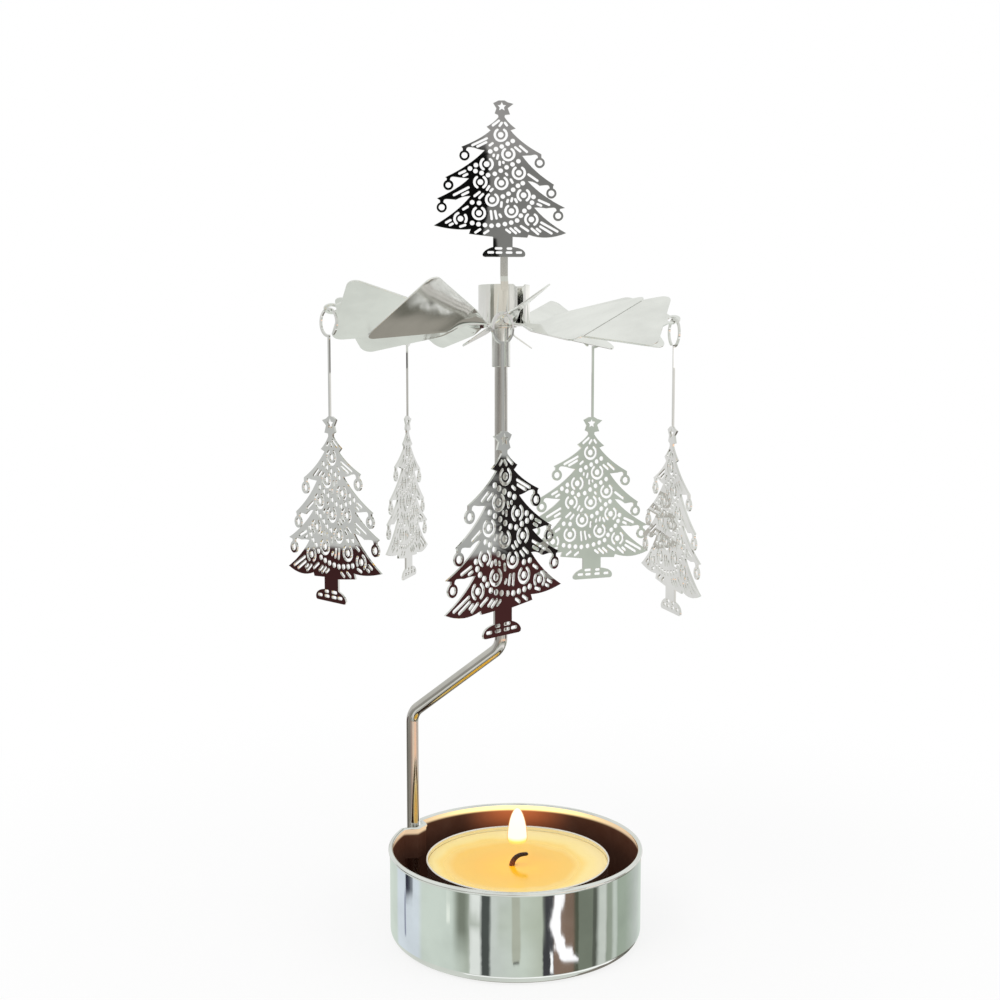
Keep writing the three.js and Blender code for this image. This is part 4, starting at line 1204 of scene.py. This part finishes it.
# Rings of the studio that one round piece mirrors each: low, high, raggedness, and bands of
# (left, right, colour) that run into each other
RINGS = (
    # The upper pole
    (-14.3, -0.5, 4, (
        (-180, -130, (0.46, 0.45, 0.43)), (-120, -90, (0.56, 0.54, 0.51)), (-76, -76, (0.78, 0.76, 0.72)),
        (-40, -40, (0.95, 0.93, 0.9)), (40, 40, (0.8, 0.79, 0.76)), (150, 180, (0.4, 0.39, 0.37)),
    )),
    # The thimble
    (-0.5, 1.35, 4, (
        (-180, -138, (0.46, 0.46, 0.45)), (-133, -114, (0.13, 0.12, 0.12)), (-108, -92, (0.36, 0.35, 0.34)),
        (-84, -70, (0.8, 0.79, 0.77)), (-64, -45, (1.4, 1.38, 1.36)), (-38, -38, (0.34, 0.33, 0.31)),
        (10, 10, (0.3, 0.29, 0.28)), (18, 70, (1.3, 1.3, 1.28)), (118, 180, (0.74, 0.74, 0.72)),
    )),
    # The collar
    (1.35, 3.17, 6, (
        (-180, -156, (0.78, 0.77, 0.75)), (-153, -138, (0.2, 0.2, 0.16)), (-135, -74, WARM_WHITE),
        (-68, -68, (0.46, 0.45, 0.42)), (-47, -47, (0.44, 0.43, 0.4)), (-44, -33, (0.12, 0.12, 0.12)),
        (-30, -16, (0.95, 0.94, 0.92)), (-13, 0, (0.02, 0.02, 0.02)), (4, 20, (0.78, 0.76, 0.76)),
        (26, 80, (1.1, 1.08, 1.06)), (100, 180, (0.8, 0.8, 0.79)),
    )),
    # The lower pole, warm on the side of the flame
    (-20.9, -14.3, 5, (
        (-180, -126, (0.34, 0.32, 0.28)), (-118, -94, (0.58, 0.43, 0.35)), (-86, -56, (1.25, 0.98, 0.76)),
        (-50, -14, (1.5, 0.96, 0.66)), (-6, -6, (0.9, 0.73, 0.64)), (45, 45, (0.8, 0.75, 0.68)),
        (140, 140, (0.6, 0.6, 0.58)), (152, 176, (0.1, 0.1, 0.08)), (180, 180, (0.34, 0.32, 0.28)),
    )),
    # The cup's wall
    (-27.5, -21, 3, (
        (-180, -150, PALE_GREEN), (-136, -133.8, (0.5, 0.55, 0.48)), (-132.8, -122.8, (0.9, 0.93, 0.9)),
        (-121.6, -114.4, NEAR_BLACK), (-113.2, -113.2, (0.67, 0.71, 0.68)), (-84, -84, (0.64, 0.7, 0.63)),
        (-67.4, -67.4, (0.52, 0.56, 0.48)), (-66.4, -57.6, (0.06, 0.06, 0.066)),
        (-56.8, -56.8, (0.26, 0.18, 0.14)), (-39, -39, (0.23, 0.16, 0.12)),
        (-36, -33.8, (0.1, 0.11, 0.08)), (-32.6, -18.2, (0.2, 0.225, 0.18)),
        (-16.8, -14, (0.11, 0.12, 0.1)), (-9.6, -9.6, (0.64, 0.68, 0.63)),
        (-2.2, -2.2, (0.66, 0.69, 0.65)), (-0.4, -0.4, (0.33, 0.37, 0.31)), (5.8, 5.8, (0.34, 0.38, 0.32)),
        (9, 9, (0.6, 0.65, 0.6)), (13, 13, (0.58, 0.63, 0.58)), (15, 15, (0.37, 0.43, 0.36)),
        (27, 27, (0.38, 0.44, 0.37)), (50, 50, (0.56, 0.6, 0.57)), (70, 180, PALE_GREEN),
    )),
)

# Single flags over the rings, in degrees: left, right, low, high, softness across and upwards,
# the colour and, where they aren't 0, raggedness and how far the sides lean
FLAGS = (
    # The hanging trees
    (46, 72, -14.2, 1, 2, 0.5, (0.88, 0.88, 0.87)),
    (112, 142, -14.2, 1, 2, 0.5, (0.86, 0.86, 0.85)),
    (-48, -28, -14.2, 1, 2, 0.5, (0.58, 0.63, 0.56)),
    (150, 181, -14.2, 1, 2, 0.5, (0.66, 0.67, 0.66)),
    (150, 181, -14.2, -7.7, 1, 0.1, (0.055, 0.02, 0.02)),
    (-9, 20, -14.2, 1, 2, 0.5, (0.5, 0.51, 0.5)),
    (4.9, 20, -14.2, -3.9, 0.5, 0.15, (0.02, 0.016, 0.016), 2, 0.25),
    (-9, 20, -14.2, -8.3, 1, 0.12, (0.075, 0.026, 0.026)),
    # The tree on top and its stem
    (-98, -80, 4.32, 12, 0.5, 0.03, (0.42, 0.41, 0.41)),
    (-98, -80, 3.6, 8.4, 0.5, 0.9, (0.27, 0.27, 0.265)),
    (-98, -89.9, 3.4, 9.2, 0.1, 0.8, (0.006, 0.006, 0.006), 0.5),
    (-98, -89.3, 3.98, 5.1, 0.05, 0.05, (0.01, 0.01, 0.01)),
    (-98, -80, 3.2, 4.02, 0.5, 0.03, (0.72, 0.71, 0.68)),
    (-98, -80, 3.15, 3.52, 0.5, 0.03, (0.3, 0.3, 0.27)),
    # A bright patch in the collar
    (-68, -36, 2.1, 2.75, 3, 0.08, (1.15, 1.14, 1.12), 8, 3),
    # The dark blade's underside
    (10, 100, -62, -37, 5, 1, (0.34, 0.32, 0.28)),
    (10, 63.6, -62, -37, 0.5, 1, (0.22, 0.2, 0.175)),
    (63.2, 65, -62, -37, 0.5, 1, (0.12, 0.12, 0.097), 1),
    (10, 100, -37, -32, 5, 1.2, (0.1, 0.105, 0.085), 5),
    (10, 100, -32, -28, 5, 0.4, (0.25, 0.24, 0.21)),
    # The cup's wall, from left to right
    (133, 173, -26, -21, 4, 0.1, (0.73, 0.79, 0.86)),
    (151, 163, -22.55, -21, 1.5, 0.18, (0.012, 0.012, 0.03), 5),
    (158, 200, -22.3, -21.7, 3, 0.08, (0.15, 0.17, 0.15), 6),
    (-200, -160, -22.3, -21.7, 3, 0.08, (0.15, 0.17, 0.15), 6),
    (148.4, 151, -23.7, -22.4, 0.8, 0.15, (0.3, 0.32, 0.42)),
    (-156, -152.6, -23.2, -22.3, 0.6, 0.2, (0.9, 0.95, 0.88), 3),
    (-147, -134, -24.3, -21.5, 5, 0.7, (0.22, 0.245, 0.2)),
    (-133.6, -122.5, -23.3, -21.5, 0.8, 0.35, (0.42, 0.46, 0.4), 4, 1),
    (-115, -108, -23, -21, 2, 0.25, (0.22, 0.25, 0.23)),
    (-107, -66, -23.6, -21, 3, 0.9, (0.5, 0.55, 0.46)),
    (-94.4, -87, -25.1, -23, 0.8, 0.2, (0.48, 0.5, 0.42), 3),
    (-93.2, -87.8, -25.27, -25.07, 0.4, 0.04, (0.01, 0.01, 0.01), 2),
    (-55, -38, -22.5, -21, 2, 0.1, (0.66, 0.6, 0.53), 4),
    (-58.6, -48.8, -24.3, -22.4, 0.6, 0.12, (1.25, 1.22, 1.26), 16, 5),
    (-52.5, -37, -25, -24, 0.7, 0.12, (1.3, 1.28, 1.33), 14, 8),
    (-60.3, -57.2, -26, -24.35, 0.5, 0.1, (1.2, 1.2, 1.22), 5),
    # The corner under the cup's wall
    (-142, 24, -44, -34, 2, 1, (1.2, 1.2, 1.2)),
)


def floor_material():
    """A pale floor: white to the camera, but for the shadow round the object."""
    made = bpy.data.materials.new("pale_floor")
    look = Look(made)
    x, y, z = look.split(look.place())
    far = look.rise((x * x + y * y).root(), 0.05, 0.20)
    cloud = look.noise(look.place(), 3.0)
    shade = look.mix(cloud, (0.95, 0.95, 0.95), (0.97, 0.97, 0.97))
    plain = look.node("ShaderNodeBsdfDiffuse", None, [shade])
    white = look.node("ShaderNodeEmission", None, [(1, 1, 1), 1.0])
    seen = look.node("ShaderNodeLightPath").out("Is Camera Ray") * (0.74 + far * 0.26)
    mixed = look.node("ShaderNodeMixShader", None, [seen, plain.out(0), white.out(0)])
    look.node("ShaderNodeOutputMaterial", None, {"Surface": mixed.out(0)})
    return made


def studio_floor():
    """The floor that takes the object's shadow."""
    bm = bmesh.new()
    bmesh.ops.create_grid(bm, x_segments=1, y_segments=1, size=3)
    mesh = bpy.data.meshes.new("floor")
    bm.to_mesh(mesh)
    bm.free()
    made = scene_object("floor", mesh)
    made.location.z = -0.00005
    mesh.materials.append(floor_material())
    made.visible_glossy = False


def lamp(name, place, aim, width, watts, tint=(1, 1, 1)):
    """A square soft lamp, which the chrome doesn't mirror."""
    data = bpy.data.lights.new(name, "AREA")
    data.size = width
    data.energy = watts
    data.color = tint
    made = new_object(name, data)
    made.location = place
    direction = Vector(aim) - Vector(place)
    made.rotation_euler = direction.to_track_quat("-Z", "Y").to_euler()
    made.visible_glossy = False


def flame_light():
    """The candle's own light."""
    data = bpy.data.lights.new("flame_light", "POINT")
    data.energy = 0.0014
    data.color = (1.0, 0.55, 0.22)
    data.shadow_soft_size = 0.0022
    made = new_object("flame_light", data)
    made.location = (0.00015, 0, 0.0215)
    made.visible_glossy = False
    made.parent = frame["bodies"]["tealight"]


OUTSIDE_CHROME = polished("cup_chrome", (0.86, 0.88, 0.86), 0.00016, grain=0.02, dull=0.014)
CUP_INSIDE = inside_of_cup()
POLE_CHROME = polished("pole_chrome", (0.62, 0.60, 0.57), 0.0001, grain=0.12)
THIMBLE_CHROME = polished("thimble_chrome", (0.72, 0.72, 0.69), 0.0001, grain=0.1)
ROTOR_MIRROR = polished("rotor_mirror", (0.92, 0.93, 0.91), 0.0003)
COLLAR_MIRROR = polished("collar_mirror", (0.88, 0.88, 0.85), 0.0003)
CHARM_MIRROR = polished("charm_mirror", (0.80, 0.80, 0.78), 0.00012, grain=0.01, dull=0.007)
TOP_MIRROR = polished("top_tree_mirror", (0.72, 0.72, 0.70), 0.00012, grain=0.01, dull=0.007)
TEALIGHT_FOIL = aluminium_foil()
CANDLE_WAX = candle_wax()
BURNT_WICK = burnt_wick()
HEART_STOPS = ((0.0, (1.0, 0.55, 0.08)), (0.14, (1.0, 0.72, 0.14)), (0.24, (1.0, 0.96, 0.82)))
MANTLE_STOPS = ((0.0, (1.0, 0.30, 0.03)), (0.5, (1.0, 0.40, 0.08)), (1.0, (1.0, 0.66, 0.30)))
FLAME_HEART = candle_flame("flame_heart", 1.6, 1.0, HEART_STOPS)
FLAME_MANTLE = candle_flame("flame_mantle", 1.2, 0.30, MANTLE_STOPS)

set_camera()
studio_world()
studio_floor()
lamp("key", (-0.55, -0.5, 0.9), (0, 0, 0.08), 0.6, 2.4)
lamp("fill", (0.7, -0.3, 0.6), (0, 0, 0.08), 0.6, 1.0)
flame_light()

cup()
pole()
rotor()
ears()
thimble()
collar()
top_tree()
for number in range(1, 6):
    charm(number)
tealight_cup()
wax()
wick()
flame()
tab = frame["nodes"]["wick_tab"]
tab.data.materials.clear()
tab.data.materials.append(TEALIGHT_FOIL)
